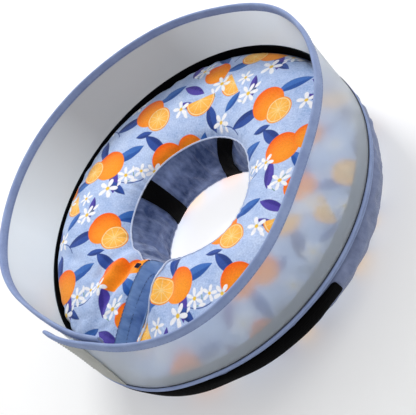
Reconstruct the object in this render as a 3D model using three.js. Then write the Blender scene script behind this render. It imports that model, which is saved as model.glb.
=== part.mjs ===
import * as THREE from "three";

// Inflatable recovery collar for a pet: a puffed fabric ring, split at one place, with a frosted
// shield sewn round its outer seam. It lies on its back with the shield's mouth up.
// Millimetres, +Z up. The origin is on the floor, on the axis of the neck hole.
// Angles are in degrees round that axis, from +X towards +Y.

// Ring
const SEAM_RADIUS = 190; // foot of the shield, where it is sewn to the ring
const HOLE_RADIUS = 77; // neck hole at its front seam
const RING_HEIGHT = 85; // floor to the highest round of the front cover
const SEAM_HEIGHT = 65; // floor to the foot of the shield
const COVER_WALL = 2; // plush fabric of the cover
const SPLIT_ANGLE = -155; // line through the axis, along the opening that lets the collar be put on
const SPLIT_OFFSET = -5; // from that line to the middle of the opening, towards the right end
const SPLIT_GAP_INNER = 34; // between the two ends of the ring at the neck hole
const SPLIT_GAP_OUTER = 26; // and at the outer seam

// Shield
const SHIELD_SLANT = 77; // foot to rim, along the sheet
const SHIELD_WALL = 1;
const FLAP_END = -169; // free end of the outer wrap
const TUCKED_END = 214; // end of the inner wrap, a full turn on and behind the flap
const FLAP_PEEL = 5; // the flap's corner curls outwards by this much at the rim
const LAP_EASE = 24; // degrees over which a wrap moves from its layer back to the seam circle

// Trims
const RIM_BINDING_HEIGHT = 8;
const RIM_BINDING_WIDTH = 4.2;
const FOOT_BINDING_HEIGHT = 6.5;
const FOOT_BINDING_WIDTH = 3.2;
const STRIP_HEIGHT = 13; // hook strip inside the foot of the shield
const STRIP_WALL = 1.2;
const STRIP_START = -138;
const STRIP_END = 207;
const TAPE_LENGTH = 50; // clear ribbed tape on the outside of the flap
const TAPE_WALL = 1;
const TAPE_MARGIN = 1.5; // from the tape's end to the flap's end
const STRAP_WIDTH = 15.5; // closing strap round the outside, just under the foot binding
const STRAP_WALL = 1.8;
const STRAP_DROP = 2.5; // from the foot binding down to the strap's upper edge
const STRAP_START = -190; // fixed end, on the far side of the split
const STRAP_TIP = -82.5; // free end
const LOOP_WIDTH = 20; // webbing loops down the hole, for the pet's own collar
const LOOP_WALL = 1.4;
const LOOP_SLACK = 2; // the webbing stands off the hole wall by this much at its middle

// Clearances
const GAP = 0.3; // between pieces that touch
const FACET_GAP = 0.5; // where two curved pieces with other facets lie on each other
const STRAP_LIFT = 1.2; // from the gusset's round to the closing strap
const END_GAP = 3; // between the two swollen ends of the ring

// Fineness
const RING_STEPS = 46;
const SHIELD_STEPS = 56;

// Round the ring: lean of the shield in degrees, outwards positive. The other columns are shares.
// waist, of the seam radius, draws the shield's seam in, neck, of the hole's radius, draws the
// hole's edge in, crown, of the ring's height, raises the front cover, and side, of the seam
// radius, swells the side gusset.
const ROUND = [
  { angle: 0, lean: 4.2, waist: 0.016, crown: 0, side: -0.006, neck: 0.03 },
  { angle: 30, lean: -0.1, waist: 0.022, crown: 0, side: 0, neck: 0.02 },
  { angle: 60, lean: 2.3, waist: 0.042, crown: 0, side: 0, neck: 0.03 },
  { angle: 90, lean: 14, waist: 0.062, crown: 0, side: 0, neck: 0 },
  { angle: 120, lean: 24, waist: 0.072, crown: 0.04, side: 0, neck: 0 },
  { angle: 150, lean: 13.8, waist: 0.064, crown: 0.04, side: 0, neck: -0.02 },
  { angle: 180, lean: -3.5, waist: 0.034, crown: 0.02, side: 0, neck: 0.04 },
  { angle: 210, lean: -8.7, waist: 0.007, crown: -0.02, side: -0.01, neck: 0.15 },
  { angle: 240, lean: 0.6, waist: 0, crown: 0, side: -0.006, neck: 0.15 },
  { angle: 270, lean: -4.8, waist: 0, crown: 0.02, side: 0.002, neck: 0.1 },
  { angle: 300, lean: -15, waist: 0, crown: 0.02, side: -0.002, neck: 0.09 },
  { angle: 330, lean: -4.2, waist: 0, crown: 0, side: -0.018, neck: 0.09 },
];

// Section of the ring, panel by panel, up the hole, out over the front, down the side and back
// underneath. across is a share of the way from the hole seam to the shield's seam, and up is a
// share of the ring's height. give says how much of the swelling a row takes.
const SECTION = {
  hole: {
    segments: 4,
    rows: [
      { across: -0.05, up: 0.13, give: 0 },
      { across: -0.074, up: 0.3, give: 0 },
      { across: -0.071, up: 0.52, give: 0 },
      { across: -0.04, up: 0.72, give: 0 },
      { across: 0, up: 0.85, give: 0 },
    ],
  },
  front: {
    segments: 9,
    rows: [
      { across: 0, up: 0.85, give: 0 },
      { across: 0.05, up: 0.925, give: 0.3 },
      { across: 0.17, up: 0.98, give: 0.7 },
      { across: 0.35, up: 1, give: 1 },
      { across: 0.56, up: 0.985, give: 1 },
      { across: 0.76, up: 0.925, give: 0.8 },
      { across: 0.9, up: 0.84, give: 0.4 },
    ],
  },
  gusset: {
    segments: 5,
    rows: [
      { across: 1.018, up: 0.63, give: 0.6 },
      { across: 1.026, up: 0.5, give: 1 },
      { across: 0.98, up: 0.34, give: 0.8 },
      { across: 0.89, up: 0.2, give: 0 },
    ],
  },
  back: {
    segments: 7,
    rows: [
      { across: 0.89, up: 0.2, give: 0 },
      { across: 0.79, up: 0.08, give: 0 },
      { across: 0.66, up: 0, give: 0 },
      { across: 0.16, up: 0, give: 0 },
      { across: 0.02, up: 0.05, give: 0 },
      { across: -0.05, up: 0.13, give: 0 },
    ],
  },
};

// Webbing loops in the hole: angle of the upper end and of the lower end.
const LOOPS = [
  { top: 106, foot: 106 },
  { top: 20, foot: 42 },
  { top: -56, foot: -56 },
];

// Rounded tip of the closing strap: share of the tip's length, share of the strap's width.
const STRAP_TIP_SHAPE = [
  { along: 0, width: 0.55 },
  { along: 0.3, width: 0.82 },
  { along: 1, width: 1 },
];
const STRAP_TIP_LENGTH = 7;

const COLOURS = {
  print: { color: 0x8fa9d8, roughness: 0.9 },
  plain: { color: 0x6f86b8, roughness: 0.95 },
  binding: { color: 0x93a6d8, roughness: 0.85 },
  frosted: { color: 0xc6c8cc, roughness: 0.45 },
  clear_tape: { color: 0xc9ccc2, roughness: 0.35 },
  black_webbing: { color: 0x15161a, roughness: 0.8 },
};

const radians = (degrees) => (degrees * Math.PI) / 180;
const degrees = (angle) => (angle * 180) / Math.PI;
const mix = (a, b, share) => a + (b - a) * share;
const smooth = (share) => THREE.MathUtils.smoothstep(share, 0, 1);

// A column of the table ROUND at any angle, on a closed smooth curve through its rows.
function aroundRing(column, angle) {
  const count = ROUND.length;
  const place = THREE.MathUtils.euclideanModulo(angle, 360) / (360 / count);
  const row = Math.floor(place);
  const t = place - row;
  const [a, b, c, d] = [-1, 0, 1, 2].map((step) => ROUND[(row + step + count) % count][column]);
  return b + 0.5 * t * (c - a + t * (2 * a - 5 * b + 4 * c - d + t * (3 * (b - c) + d - a)));
}

// Solids

function bodyVolume(positions, triangles) {
  let sum = 0;
  for (const [a, b, c] of triangles) {
    sum += positions[a].dot(new THREE.Vector3().crossVectors(positions[b], positions[c]));
  }
  return sum / 6;
}

function bodyGeometry(positions, triangles) {
  const flipped = bodyVolume(positions, triangles) < 0;
  const index = triangles.flatMap(([a, b, c]) => (flipped ? [a, c, b] : [a, b, c]));
  const geometry = new THREE.BufferGeometry().setFromPoints(positions);
  geometry.setIndex(index);
  geometry.computeVertexNormals();
  return geometry;
}

// A body through a row of closed loops with equal numbers of points, closed at both ends.
function loftBody(loops, endTriangles) {
  const count = loops[0].length;
  const triangles = [];
  for (let j = 0; j + 1 < loops.length; j++) {
    for (let i = 0; i < count; i++) {
      const next = (i + 1) % count;
      const [a, b] = [j * count + i, j * count + next];
      triangles.push([a, b, b + count], [a, b + count, a + count]);
    }
  }
  const last = (loops.length - 1) * count;
  for (const [a, b, c] of endTriangles) {
    triangles.push([a, c, b], [a + last, b + last, c + last]);
  }
  return bodyGeometry(loops.flat(), triangles);
}

// End triangles of a sheet whose loop runs out along one face and back along the other.
function sheetEnd(pointCount) {
  const triangles = [];
  for (let i = 0; i + 1 < pointCount / 2; i++) {
    const far = pointCount - 1 - i;
    triangles.push([i, i + 1, far - 1], [i, far - 1, far]);
  }
  return triangles;
}

const sheetLoop = (outer, inner) => [...outer, ...[...inner].reverse()];

// Where the shield's seam or the hole's edge is drawn in, what lies between the two follows in
// proportion, and what lies beyond either moves with it.
function drawnIn(radius, angle) {
  const share = THREE.MathUtils.clamp((radius - HOLE_RADIUS) / (SEAM_RADIUS - HOLE_RADIUS), 0, 1);
  const atSeam = share * aroundRing("waist", angle) * SEAM_RADIUS;
  return radius - atSeam - (1 - share) * aroundRing("neck", angle) * HOLE_RADIUS;
}

function polar(radius, angle, height) {
  const a = radians(angle);
  const drawn = drawnIn(radius, angle);
  return new THREE.Vector3(drawn * Math.cos(a), drawn * Math.sin(a), height);
}

// Section of the ring

const footBindingBase = SEAM_HEIGHT - FOOT_BINDING_HEIGHT;

// Radius at which the cover's panels end inside the foot binding, and inside both layers of it
// where the wraps overlap.
function coverEdge(angle) {
  const turn = THREE.MathUtils.euclideanModulo(angle - SPLIT_ANGLE, 360) + SPLIT_ANGLE;
  return SEAM_RADIUS - Math.abs(layerOffset(turn)) - FOOT_BINDING_WIDTH / 2 - FACET_GAP;
}

function sectionPoint(row, angle, swell) {
  const width = SEAM_RADIUS - HOLE_RADIUS;
  const crown = swell === "crown" ? row.give * aroundRing("crown", angle) * RING_HEIGHT : 0;
  const side = swell === "side" ? row.give * aroundRing("side", angle) * SEAM_RADIUS : 0;
  const radius = HOLE_RADIUS + row.across * width + side;
  return new THREE.Vector2(radius, row.up * RING_HEIGHT + crown);
}

// The points of one panel across the section, on a smooth curve through its rows. The front and
// the gusset run on to the edges that are sewn together at the foot of the shield.
function panelOutline(name, angle) {
  const { rows, segments } = SECTION[name];
  const swell = { front: "crown", gusset: "side" }[name];
  const points = rows.map((row) => sectionPoint(row, angle, swell));
  const edge = coverEdge(angle);
  if (name === "front") points.push(new THREE.Vector2(edge - STRIP_WALL, SEAM_HEIGHT - GAP));
  if (name === "gusset") points.unshift(new THREE.Vector2(edge, footBindingBase - FACET_GAP));
  const outline = new THREE.SplineCurve(points).getPoints(segments);
  return outline.map((point) => new THREE.Vector2(point.x, Math.max(0, point.y)));
}

// Direction that leaves the ring at a corner of its section, long enough to keep a wall's
// thickness round a bend.
function outwardMitre(before, at, after) {
  const left = (from, to) => {
    const run = new THREE.Vector2().subVectors(to, from).normalize();
    return new THREE.Vector2(-run.y, run.x);
  };
  const [a, b] = [left(before, at), left(at, after)];
  return a.clone().add(b).divideScalar(1 + a.dot(b));
}

// The whole section at an angle: for each panel its outer points and the outward direction at each.
function ringSection(angle) {
  const names = Object.keys(SECTION);
  const outlines = names.map((name) => panelOutline(name, angle));
  const loop = outlines.flat();
  const distinct = loop.filter((point, i) => point.distanceTo(loop[(i + 1) % loop.length]) > 1e-6);
  const near = (point) => distinct.findIndex((other) => other.distanceTo(point) < 1e-6);
  const section = {};
  names.forEach((name, k) => {
    const out = outlines[k].map((point) => {
      const i = near(point);
      const count = distinct.length;
      return outwardMitre(distinct[(i + count - 1) % count], point, distinct[(i + 1) % count]);
    });
    section[name] = { points: outlines[k], out };
  });
  return section;
}

// Half the split, measured square to it, at a distance from the axis.
function halfSplit(radius) {
  const share = (radius - HOLE_RADIUS) / (SEAM_RADIUS - HOLE_RADIUS);
  return mix(SPLIT_GAP_INNER, SPLIT_GAP_OUTER, share) / 2;
}

// Angle at which the ring ends, before (side 1) or after (side -1) its run round the axis.
function endAngle(radius, side, inset = 0) {
  const turn = degrees(Math.asin((halfSplit(radius) - inset + side * SPLIT_OFFSET) / radius));
  return side > 0 ? SPLIT_ANGLE + turn : SPLIT_ANGLE + 360 - turn;
}

const ringAngle = (radius, share) => mix(endAngle(radius, 1), endAngle(radius, -1), share);

// Moves the first and last point of a row towards their neighbours, for the gap at a seam.
function drawBack(points, distances) {
  const pulled = points.map((point) => point.clone());
  const last = points.length - 1;
  pulled[0].lerp(points[1], distances[0]);
  pulled[last].lerp(points[last - 1], distances[1]);
  return pulled;
}

// One cover panel: a sheet swept round the ring from end to end.
function coverPanel(name) {
  const loops = [];
  for (let j = 0; j <= RING_STEPS; j++) {
    const share = j / RING_STEPS;
    const middle = ringAngle((SEAM_RADIUS + HOLE_RADIUS) / 2, share);
    const { points, out } = ringSection(middle)[name];
    const inner = points.map((point, i) => point.clone().addScaledVector(out[i], -COVER_WALL));
    const last = points.length - 1;
    const pull = [
      (GAP / 2) / points[0].distanceTo(points[1]),
      (GAP / 2) / points[last].distanceTo(points[last - 1]),
    ].map((value) => value * 1.4);
    const outerRow = drawBack(points, pull).map((p) => polar(p.x, ringAngle(p.x, share), p.y));
    const innerRow = drawBack(inner, pull).map((p) => polar(p.x, ringAngle(p.x, share), p.y));
    loops.push(sheetLoop(outerRow, innerRow));
  }
  return loftBody(loops, sheetEnd(loops[0].length));
}

// The swollen fabric face that closes one end of the ring, bulging into the split.
const END_RINGS = [1, 0.86, 0.62, 0.34];

function endCap(side) {
  const square = radians(SPLIT_ANGLE + 90);
  const towards = new THREE.Vector3(Math.cos(square), Math.sin(square), 0).multiplyScalar(-side);
  const section = ringSection(endAngle((SEAM_RADIUS + HOLE_RADIUS) / 2, side));
  const outline = Object.values(section)
    .flatMap(({ points }) => points)
    .filter((point, i, all) => point.distanceTo(all[(i + 1) % all.length]) > 1e-6);
  const rim = outline.map((p) => polar(p.x, endAngle(p.x, side, GAP), p.y));
  const centre = rim.reduce((sum, point) => sum.add(point), new THREE.Vector3()).divideScalar(rim.length);
  const depth = halfSplit((SEAM_RADIUS + HOLE_RADIUS) / 2) - GAP - COVER_WALL - END_GAP / 2;
  const place = (point, share, lift) =>
    centre.clone().lerp(point, share).addScaledVector(towards, depth * (1 - share ** 2) + lift);
  const faces = [0, COVER_WALL].map((lift) => [
    ...END_RINGS.flatMap((share) => rim.map((point) => place(point, share, lift))),
    place(centre, 0, lift),
  ]);
  const count = rim.length;
  const face = [];
  for (let k = 0; k + 1 < END_RINGS.length; k++) {
    for (let i = 0; i < count; i++) {
      const [a, b] = [k * count + i, k * count + ((i + 1) % count)];
      face.push([a, b, b + count], [a, b + count, a + count]);
    }
  }
  const inside = (END_RINGS.length - 1) * count;
  for (let i = 0; i < count; i++) {
    face.push([inside + i, inside + ((i + 1) % count), END_RINGS.length * count]);
  }
  const shift = faces[0].length;
  const triangles = [
    ...face.map(([a, b, c]) => [a, c, b]),
    ...face.map((triangle) => triangle.map((v) => v + shift)),
  ];
  for (let i = 0; i < count; i++) {
    const next = (i + 1) % count;
    triangles.push([i, next, next + shift], [i, next + shift, i + shift]);
  }
  return bodyGeometry(faces.flat(), triangles);
}

// Shield

// The two wraps overlap behind the split. The outer one stands off the seam circle by half a
// layer and the inner one is inside it by half a layer.
const layerSpacing = RIM_BINDING_WIDTH + 2 * FACET_GAP;

function layerOffset(angle) {
  const lapAngle = TUCKED_END - 360 - FLAP_END;
  const outside = 1 - smooth((angle - FLAP_END - lapAngle) / LAP_EASE);
  const inside = smooth((angle - (TUCKED_END - lapAngle - LAP_EASE)) / LAP_EASE);
  return ((outside - inside) * layerSpacing) / 2;
}

// A point of the shield: angle, distance up the slant and offset outwards from the sheet's middle.
function shieldPoint(angle, up, offset) {
  const lean = radians(aroundRing("lean", angle));
  const peel = FLAP_PEEL * (1 - smooth((angle - FLAP_END) / LAP_EASE)) * (up / SHIELD_SLANT) ** 2;
  const radius = SEAM_RADIUS + layerOffset(angle) + peel + up * Math.sin(lean) + offset * Math.cos(lean);
  return polar(radius, angle, SEAM_HEIGHT + up * Math.cos(lean) - offset * Math.sin(lean));
}

const shieldStep = (TUCKED_END - FLAP_END) / SHIELD_STEPS;
const shieldStation = (angle) => FLAP_END + Math.round((angle - FLAP_END) / shieldStep) * shieldStep;

// A body with one section, given as [offset, up] pairs, that follows the shield from one angle to
// another, with its facets in line with the shield's own.
function alongShield(section, from, to) {
  const angles = [from];
  for (let k = 0; k <= SHIELD_STEPS; k++) {
    const angle = FLAP_END + k * shieldStep;
    if (angle > from + shieldStep / 4 && angle < to - shieldStep / 4) angles.push(angle);
  }
  angles.push(to);
  const loops = angles.map((angle) => section.map(([offset, up]) => shieldPoint(angle, up, offset)));
  const contour = section.map(([offset, up]) => new THREE.Vector2(offset, up));
  return loftBody(loops, THREE.ShapeUtils.triangulateShape(contour, []));
}

// A flat strip with its thickness across the shield, from low to high, with a row of points
// at each given share of its height.
function stripSection(insideFace, outsideFace, low, high, shares = [0, 1]) {
  const rows = shares.map((share) => mix(low, high, share));
  return [...rows.map((up) => [outsideFace, up]), ...rows.reverse().map((up) => [insideFace, up])];
}

function shieldWall() {
  const half = SHIELD_WALL / 2;
  const section = stripSection(-half, half, 0, SHIELD_SLANT, [0, STRIP_HEIGHT / SHIELD_SLANT, 0.55, 1]);
  return alongShield(section, FLAP_END, TUCKED_END);
}

function rimBinding() {
  const half = RIM_BINDING_WIDTH / 2;
  const slot = SHIELD_WALL / 2 + FACET_GAP;
  const low = SHIELD_SLANT - RIM_BINDING_HEIGHT;
  const slotTop = SHIELD_SLANT + GAP;
  const top = slotTop + half - slot;
  const section = [
    [half, low], [half, slotTop], [half / 2, top], [-half / 2, top], [-half, slotTop],
    [-half, low], [-slot, low], [-slot, slotTop], [slot, slotTop], [slot, low],
  ];
  return alongShield(section, FLAP_END, TUCKED_END);
}

function footBinding() {
  const half = FOOT_BINDING_WIDTH / 2;
  const section = stripSection(-half, half, -FOOT_BINDING_HEIGHT, -GAP);
  return alongShield(section, FLAP_END, TUCKED_END);
}

function innerStrip() {
  const outside = -SHIELD_WALL / 2 - FACET_GAP;
  const section = stripSection(outside - STRIP_WALL, outside, 0, STRIP_HEIGHT);
  return alongShield(section, shieldStation(STRIP_START), shieldStation(STRIP_END));
}

function endTape() {
  const inside = SHIELD_WALL / 2 + FACET_GAP;
  const start = FLAP_END + degrees(TAPE_MARGIN / SEAM_RADIUS);
  const end = start + degrees(TAPE_LENGTH / SEAM_RADIUS);
  const high = SHIELD_SLANT - RIM_BINDING_HEIGHT - 2 * GAP;
  return alongShield(stripSection(inside, inside + TAPE_WALL, GAP, high, [0, 0.5, 1]), start, end);
}

// Straps on the ring

// Point of a panel's outer surface at a height, lifted off it along its outward direction.
function panelPoint(panel, angle, height, lift) {
  const { points, out } = ringSection(angle)[panel];
  const pairs = points.map((point, i) => ({ point, out: out[i] }));
  if (points[0].y < points.at(-1).y) pairs.reverse();
  const k = Math.max(1, pairs.findIndex(({ point }) => point.y <= height));
  const [a, b] = [pairs[k - 1], pairs[k]];
  const share = (a.point.y - height) / (a.point.y - b.point.y);
  const point = a.point.clone().lerp(b.point, share);
  return point.addScaledVector(a.out.clone().lerp(b.out, share).normalize(), lift);
}

// The angles at which the gusset's facets meet, and the middle of the split, from one angle down
// to another, leaving out what is nearer than half a facet to either.
function gussetStations(from, to) {
  const margin = 180 / RING_STEPS;
  const own = Array.from({ length: RING_STEPS + 1 }, (_, k) => ringAngle(SEAM_RADIUS, k / RING_STEPS));
  const middle = (own[0] + own[RING_STEPS] - 360) / 2;
  return [...own, middle, ...own.map((angle) => angle - 360)]
    .filter((angle) => angle < from - margin && angle > to + margin)
    .sort((a, b) => b - a);
}

function closingStrap() {
  const middle = footBindingBase - STRAP_DROP - STRAP_WIDTH / 2;
  const tip = degrees(STRAP_TIP_LENGTH / SEAM_RADIUS);
  const stations = STRAP_TIP_SHAPE.map(({ along, width }) => ({
    angle: STRAP_TIP - along * tip,
    half: (width * STRAP_WIDTH) / 2,
  }));
  for (const angle of [...gussetStations(STRAP_TIP - tip, STRAP_START), STRAP_START]) {
    stations.push({ angle, half: STRAP_WIDTH / 2 });
  }
  const loops = stations.map(({ angle, half }) => {
    const row = (lift) =>
      [1, 0.6, 0.2, -0.2, -0.6, -1].map((share) => {
        const point = panelPoint("gusset", angle, middle + share * half, lift);
        return polar(point.x, angle, point.y);
      });
    return sheetLoop(row(STRAP_LIFT + STRAP_WALL), row(STRAP_LIFT));
  });
  return loftBody(loops, sheetEnd(loops[0].length));
}

// One webbing loop, sewn into the seams at the top and the bottom of the hole.
function collarLoop({ top, foot }) {
  const rows = 8;
  const high = SECTION.hole.rows.at(-1).up * RING_HEIGHT - GAP;
  const low = SECTION.hole.rows[0].up * RING_HEIGHT + GAP;
  const loops = [];
  for (let i = 0; i <= rows; i++) {
    const share = i / rows;
    const angle = mix(top, foot, share);
    const height = mix(high, low, share);
    const slack = LOOP_SLACK * Math.sin(Math.PI * share);
    const corners = (lift) => {
      const point = panelPoint("hole", angle, height, lift + slack);
      const turn = degrees(LOOP_WIDTH / 2 / point.x);
      return [-1, 0, 1].map((side) => polar(point.x, angle + side * turn, point.y));
    };
    loops.push(sheetLoop(corners(FACET_GAP + LOOP_WALL), corners(FACET_GAP)));
  }
  return loftBody(loops, sheetEnd(loops[0].length));
}

// The collar

function piece(name, geometry, finish) {
  const material = new THREE.MeshStandardMaterial({ ...COLOURS[finish], metalness: 0 });
  const mesh = new THREE.Mesh(geometry, material);
  mesh.name = name;
  return mesh;
}

function ringCover() {
  const group = new THREE.Group();
  group.add(piece("front_cover", coverPanel("front"), "print"));
  group.add(piece("hole_wall", coverPanel("hole"), "plain"));
  group.add(piece("side_gusset", coverPanel("gusset"), "plain"));
  group.add(piece("back_cover", coverPanel("back"), "print"));
  group.add(piece("end_cap_right", endCap(1), "plain"));
  group.add(piece("end_cap_left", endCap(-1), "plain"));
  return group;
}

function shield() {
  const group = new THREE.Group();
  group.add(piece("shield_wall", shieldWall(), "frosted"));
  group.add(piece("rim_binding", rimBinding(), "binding"));
  group.add(piece("foot_binding", footBinding(), "binding"));
  group.add(piece("inner_strip", innerStrip(), "black_webbing"));
  group.add(piece("end_tape", endTape(), "clear_tape"));
  return group;
}

function straps() {
  const group = new THREE.Group();
  group.add(piece("closing_strap", closingStrap(), "black_webbing"));
  LOOPS.forEach((loop, i) => {
    group.add(piece(`collar_loop_${i + 1}`, collarLoop(loop), "black_webbing"));
  });
  return group;
}

const collar = new THREE.Group();
collar.add(ringCover(), shield(), straps());

export default collar;
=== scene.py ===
import math

import bpy
import numpy as np
from bpy.props import FloatProperty, FloatVectorProperty, PointerProperty
from mathutils import Matrix, Vector
from mathutils.bvhtree import BVHTree


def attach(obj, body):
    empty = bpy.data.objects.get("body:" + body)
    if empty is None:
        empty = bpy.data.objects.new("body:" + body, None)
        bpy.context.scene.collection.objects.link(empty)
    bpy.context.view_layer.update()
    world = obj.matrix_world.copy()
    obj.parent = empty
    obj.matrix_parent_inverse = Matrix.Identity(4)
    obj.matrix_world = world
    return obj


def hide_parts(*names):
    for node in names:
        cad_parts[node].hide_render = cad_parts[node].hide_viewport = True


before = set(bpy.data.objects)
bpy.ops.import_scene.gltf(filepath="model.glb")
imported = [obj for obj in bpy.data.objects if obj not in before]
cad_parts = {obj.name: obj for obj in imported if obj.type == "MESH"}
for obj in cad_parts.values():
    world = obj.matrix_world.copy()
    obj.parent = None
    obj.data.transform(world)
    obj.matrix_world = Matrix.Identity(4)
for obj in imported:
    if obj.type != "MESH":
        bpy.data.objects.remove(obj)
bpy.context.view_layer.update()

bl_info = {
    "name": "Inflatable Recovery Collar",
    "version": (1, 0, 0),
    "blender": (4, 5, 0),
    "location": "3D View > Sidebar > Collar",
    "description": "Puffed plush ring, frosted shield, bindings and straps of a pet's recovery collar",
    "category": "Object",
}

BODY = "root"
LAY = "lay"  # attribute with each point's place on the flat cloth, in metres

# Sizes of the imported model, in metres. Angles are in degrees round the neck hole, from +X to +Y.
SEAM_RADIUS = 0.190
HOLE_RADIUS = 0.077
RING_HEIGHT = 0.085
SEAM_HEIGHT = 0.065
SPLIT_ANGLE = -155.0
SPLIT_OFFSET = -0.005
SPLIT_GAP_INNER = 0.034
SPLIT_GAP_OUTER = 0.026
SHIELD_SLANT = 0.077
SHIELD_WALL = 0.0009
FLAP_END = -169.0
TUCKED_END = 214.0
FLAP_PEEL = 0.005
LAP_EASE = 24.0
LAYER_SPACING = 0.0052
ROOM = 0.0005  # gap left between pieces that meet
RIM_BINDING_HEIGHT = 0.0078
RIM_BINDING_WIDTH = 0.0040
FOOT_BINDING_HEIGHT = 0.0065
FOOT_BINDING_WIDTH = 0.0032
STRIP_HEIGHT = 0.013
STRIP_WALL = 0.0012
STRIP_SPAN = (-138.0, 207.0)
TAPE_LENGTH = 0.050
TAPE_WALL = 0.0009
STRAP_WIDTH = 0.0155
STRAP_WALL = 0.0018
STRAP_DROP = 0.0025
STRAP_TIP = -82.5
STRAP_START = -190.0
STRAP_SEARCH = (SEAM_RADIUS - 0.02, SEAM_RADIUS + 0.07)  # radii between which the side's cloth lies
STRAP_EASE = 14  # stations over which the strap's pull evens out the cloth's swell
LOOP_WIDTH = 0.020
LOOP_WALL = 0.0014
LOOP_RADIUS = 0.070
LOOP_LENGTH = 0.062
LOOP_SLACK = 0.0022
WEBBING_LIFT = 0.0006  # gap between webbing and the cloth under it
LOOPS = (
    {"name": "collar_loop_1", "top": 106.0, "foot": 106.0, "below": 0.0},
    {"name": "collar_loop_2", "top": 20.0, "foot": 42.0, "below": 0.0},
    {"name": "collar_loop_3", "top": -56.0, "foot": -56.0, "below": 0.006},
)

# Round the ring, one number every 30 degrees: lean of the shield in degrees, how far its seam and
# the hole's edge are drawn in as shares of their radii, rise of the front as a share of the ring's
# height and swell of the side as a share of the seam radius. Then the cloth's own play, all from 0
# to 1: how far the front stands up over the strip, how far the side is pulled in under the closing
# strap and how far the hole's edge stands up.
ROUND = {
    "lean": (4.2, -0.1, 2.3, 14.0, 24.0, 13.8, -3.5, -8.7, 0.6, -4.8, -15.0, -4.2),
    "waist": (0.016, 0.022, 0.042, 0.062, 0.072, 0.064, 0.034, 0.007, 0, 0, 0, 0),
    "neck": (0.03, 0.02, 0.03, 0, 0, -0.02, 0.04, 0.15, 0.15, 0.1, 0.09, 0.09),
    "crown": (0, 0, 0, 0, 0.04, 0.04, 0.02, -0.02, 0, 0.02, 0.02, 0),
    "side": (-0.006, 0, 0, 0, 0, 0, 0, -0.01, -0.006, 0.002, -0.002, -0.018),
    "shoulder": (0, 0, 0.3, 0.9, 1.0, 0.9, 0.4, 0.1, 0, 0, 0, 0),
    "tuck": (0, 0, 0, 0, 0, 0, 0.05, 0.3, 0.7, 0.7, 0.3, 0.1),
    "lip": (0.3, 0, 0, 0, 0, 0, 0.3, 0.8, 1.0, 1.0, 1.0, 0.8),
}
TUCK_DEPTH = 0.008
TUCK_FROM = 0.6  # share across the back from which it is pulled in with the side
TUCK_SHAPE = ((0, 0.09, 0.2, 0.34, 0.5, 0.63), (0, 0.6, 1, 0.9, 0.45, 0))  # heights and shares
LIP = {"hole": (0.85, -0.45, 0.07), "front": (0.0, 0.55, 0.07)}  # row at the edge, reach and rise
SHOULDER = {0.76: (0.055, 0.0), 0.9: (0.095, 0.02)}  # rise and reach of the rows it lifts

# Section of the ring: rows of (share across from the hole seam to the shield's seam, share of the
# ring's height, share of the swelling that the row takes).
SECTION = {
    "hole": ((-0.05, 0.13, 0), (-0.074, 0.3, 0), (-0.071, 0.52, 0), (-0.04, 0.72, 0), (0, 0.85, 0)),
    "front": ((0, 0.85, 0), (0.05, 0.925, 0.3), (0.17, 0.98, 0.7), (0.35, 1, 1), (0.56, 0.985, 1),
              (0.76, 0.925, 0.8), (0.9, 0.84, 0.4)),
    "gusset": ((1.018, 0.63, 0.6), (1.026, 0.5, 1), (0.98, 0.34, 0.8), (0.89, 0.2, 0)),
    "back": ((0.89, 0.2, 0), (0.79, 0.08, 0), (0.66, 0, 0), (0.16, 0, 0), (0.02, 0.05, 0),
             (-0.05, 0.13, 0)),
}
CELLS = {"hole": 12, "front": 26, "gusset": 11, "back": 24}
RING_CELLS = 168
CAP_RINGS = 14
CAP_DEPTH = {1: 0.007, -1: 0.0135}  # how far the right and the left end swell into the split


def panel_spans():
    """First and last point of each panel in the section's closed loop. The step from the front's
    last point to the gusset's first is the strip that the foot binding covers."""
    spans, last = {}, 0
    for name, cells in CELLS.items():
        first = last + 1 if name == "gusset" else last
        last = first + cells
        spans[name] = (first, last)
    return spans


SPANS = panel_spans()
LOOP_POINTS = SPANS["back"][1]

FACING_SHARE = 0.78  # where the left end's stitched facing ends, as a share of the way out
FACING_WIDTH = 0.035
FACING_DIP = 0.0014
END_CREASE = 0.0017  # height of the creases across the ring's ends

# Rows of stitches on the left end: which of its rings of points they follow, and their lift.
FACING_ROWS = {"facing_stitches": (3, 0.0004), "facing_seam_stitches": (0, 0.0002)}

TACK_LENGTH = 0.0070
TACK_HEIGHT = 0.0050
TACK_COLUMN = 7  # column of the front's points, counted from the hole, that the tack lies on
TACK_STEPS = 16
STITCH_LENGTH = 0.0028
STITCH_GAP = 0.0012

# Folds near the front's left end: distance from the end at the hole, how much further it is at the
# outer seam, half width and height, in metres.
FOLDS = ((0.012, 0.030, 0.005, -0.0058), (0.023, 0.034, 0.006, 0.0036), (0.036, 0.040, 0.006, -0.0034),
         (0.003, 0.004, 0.004, 0.0014))

# Creases in the hole's wall: waves up the wall with their heights, and the upright ones' height.
WALL_WAVES = ((1.2, 0.0017), (2.2, 0.0009))
UPRIGHT_CREASE = 0.0016

# How deep and how wide a panel dips beside its seams, and how high it gathers there.
SEAM_DRAW = {"hole": 0.0009, "front": 0.0009, "gusset": 0.0006, "back": 0.0008}
SEAM_DRAW_WIDTH = 0.0032
GATHER_HEIGHT = 0.00042

SEED = 7
SIM_FRAMES = 20
PLUSH = {
    "quality": 6, "mass": 0.25, "tension_stiffness": 14, "compression_stiffness": 14,
    "shear_stiffness": 4, "bending_stiffness": 0.25, "air_damping": 2.5,
}
END_HOLD = 0.75  # how firmly the cloth simulation holds the ring's two end edges
GUSSET_GIVE = 0.45  # share of the front's movement that the tighter side panel is given


def mix(a, b, share):
    return a + (b - a) * share


def smooth(value, low=0.0, high=1.0):
    share = np.clip((value - low) / (high - low), 0.0, 1.0)
    return share * share * (3 - 2 * share)


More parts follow.
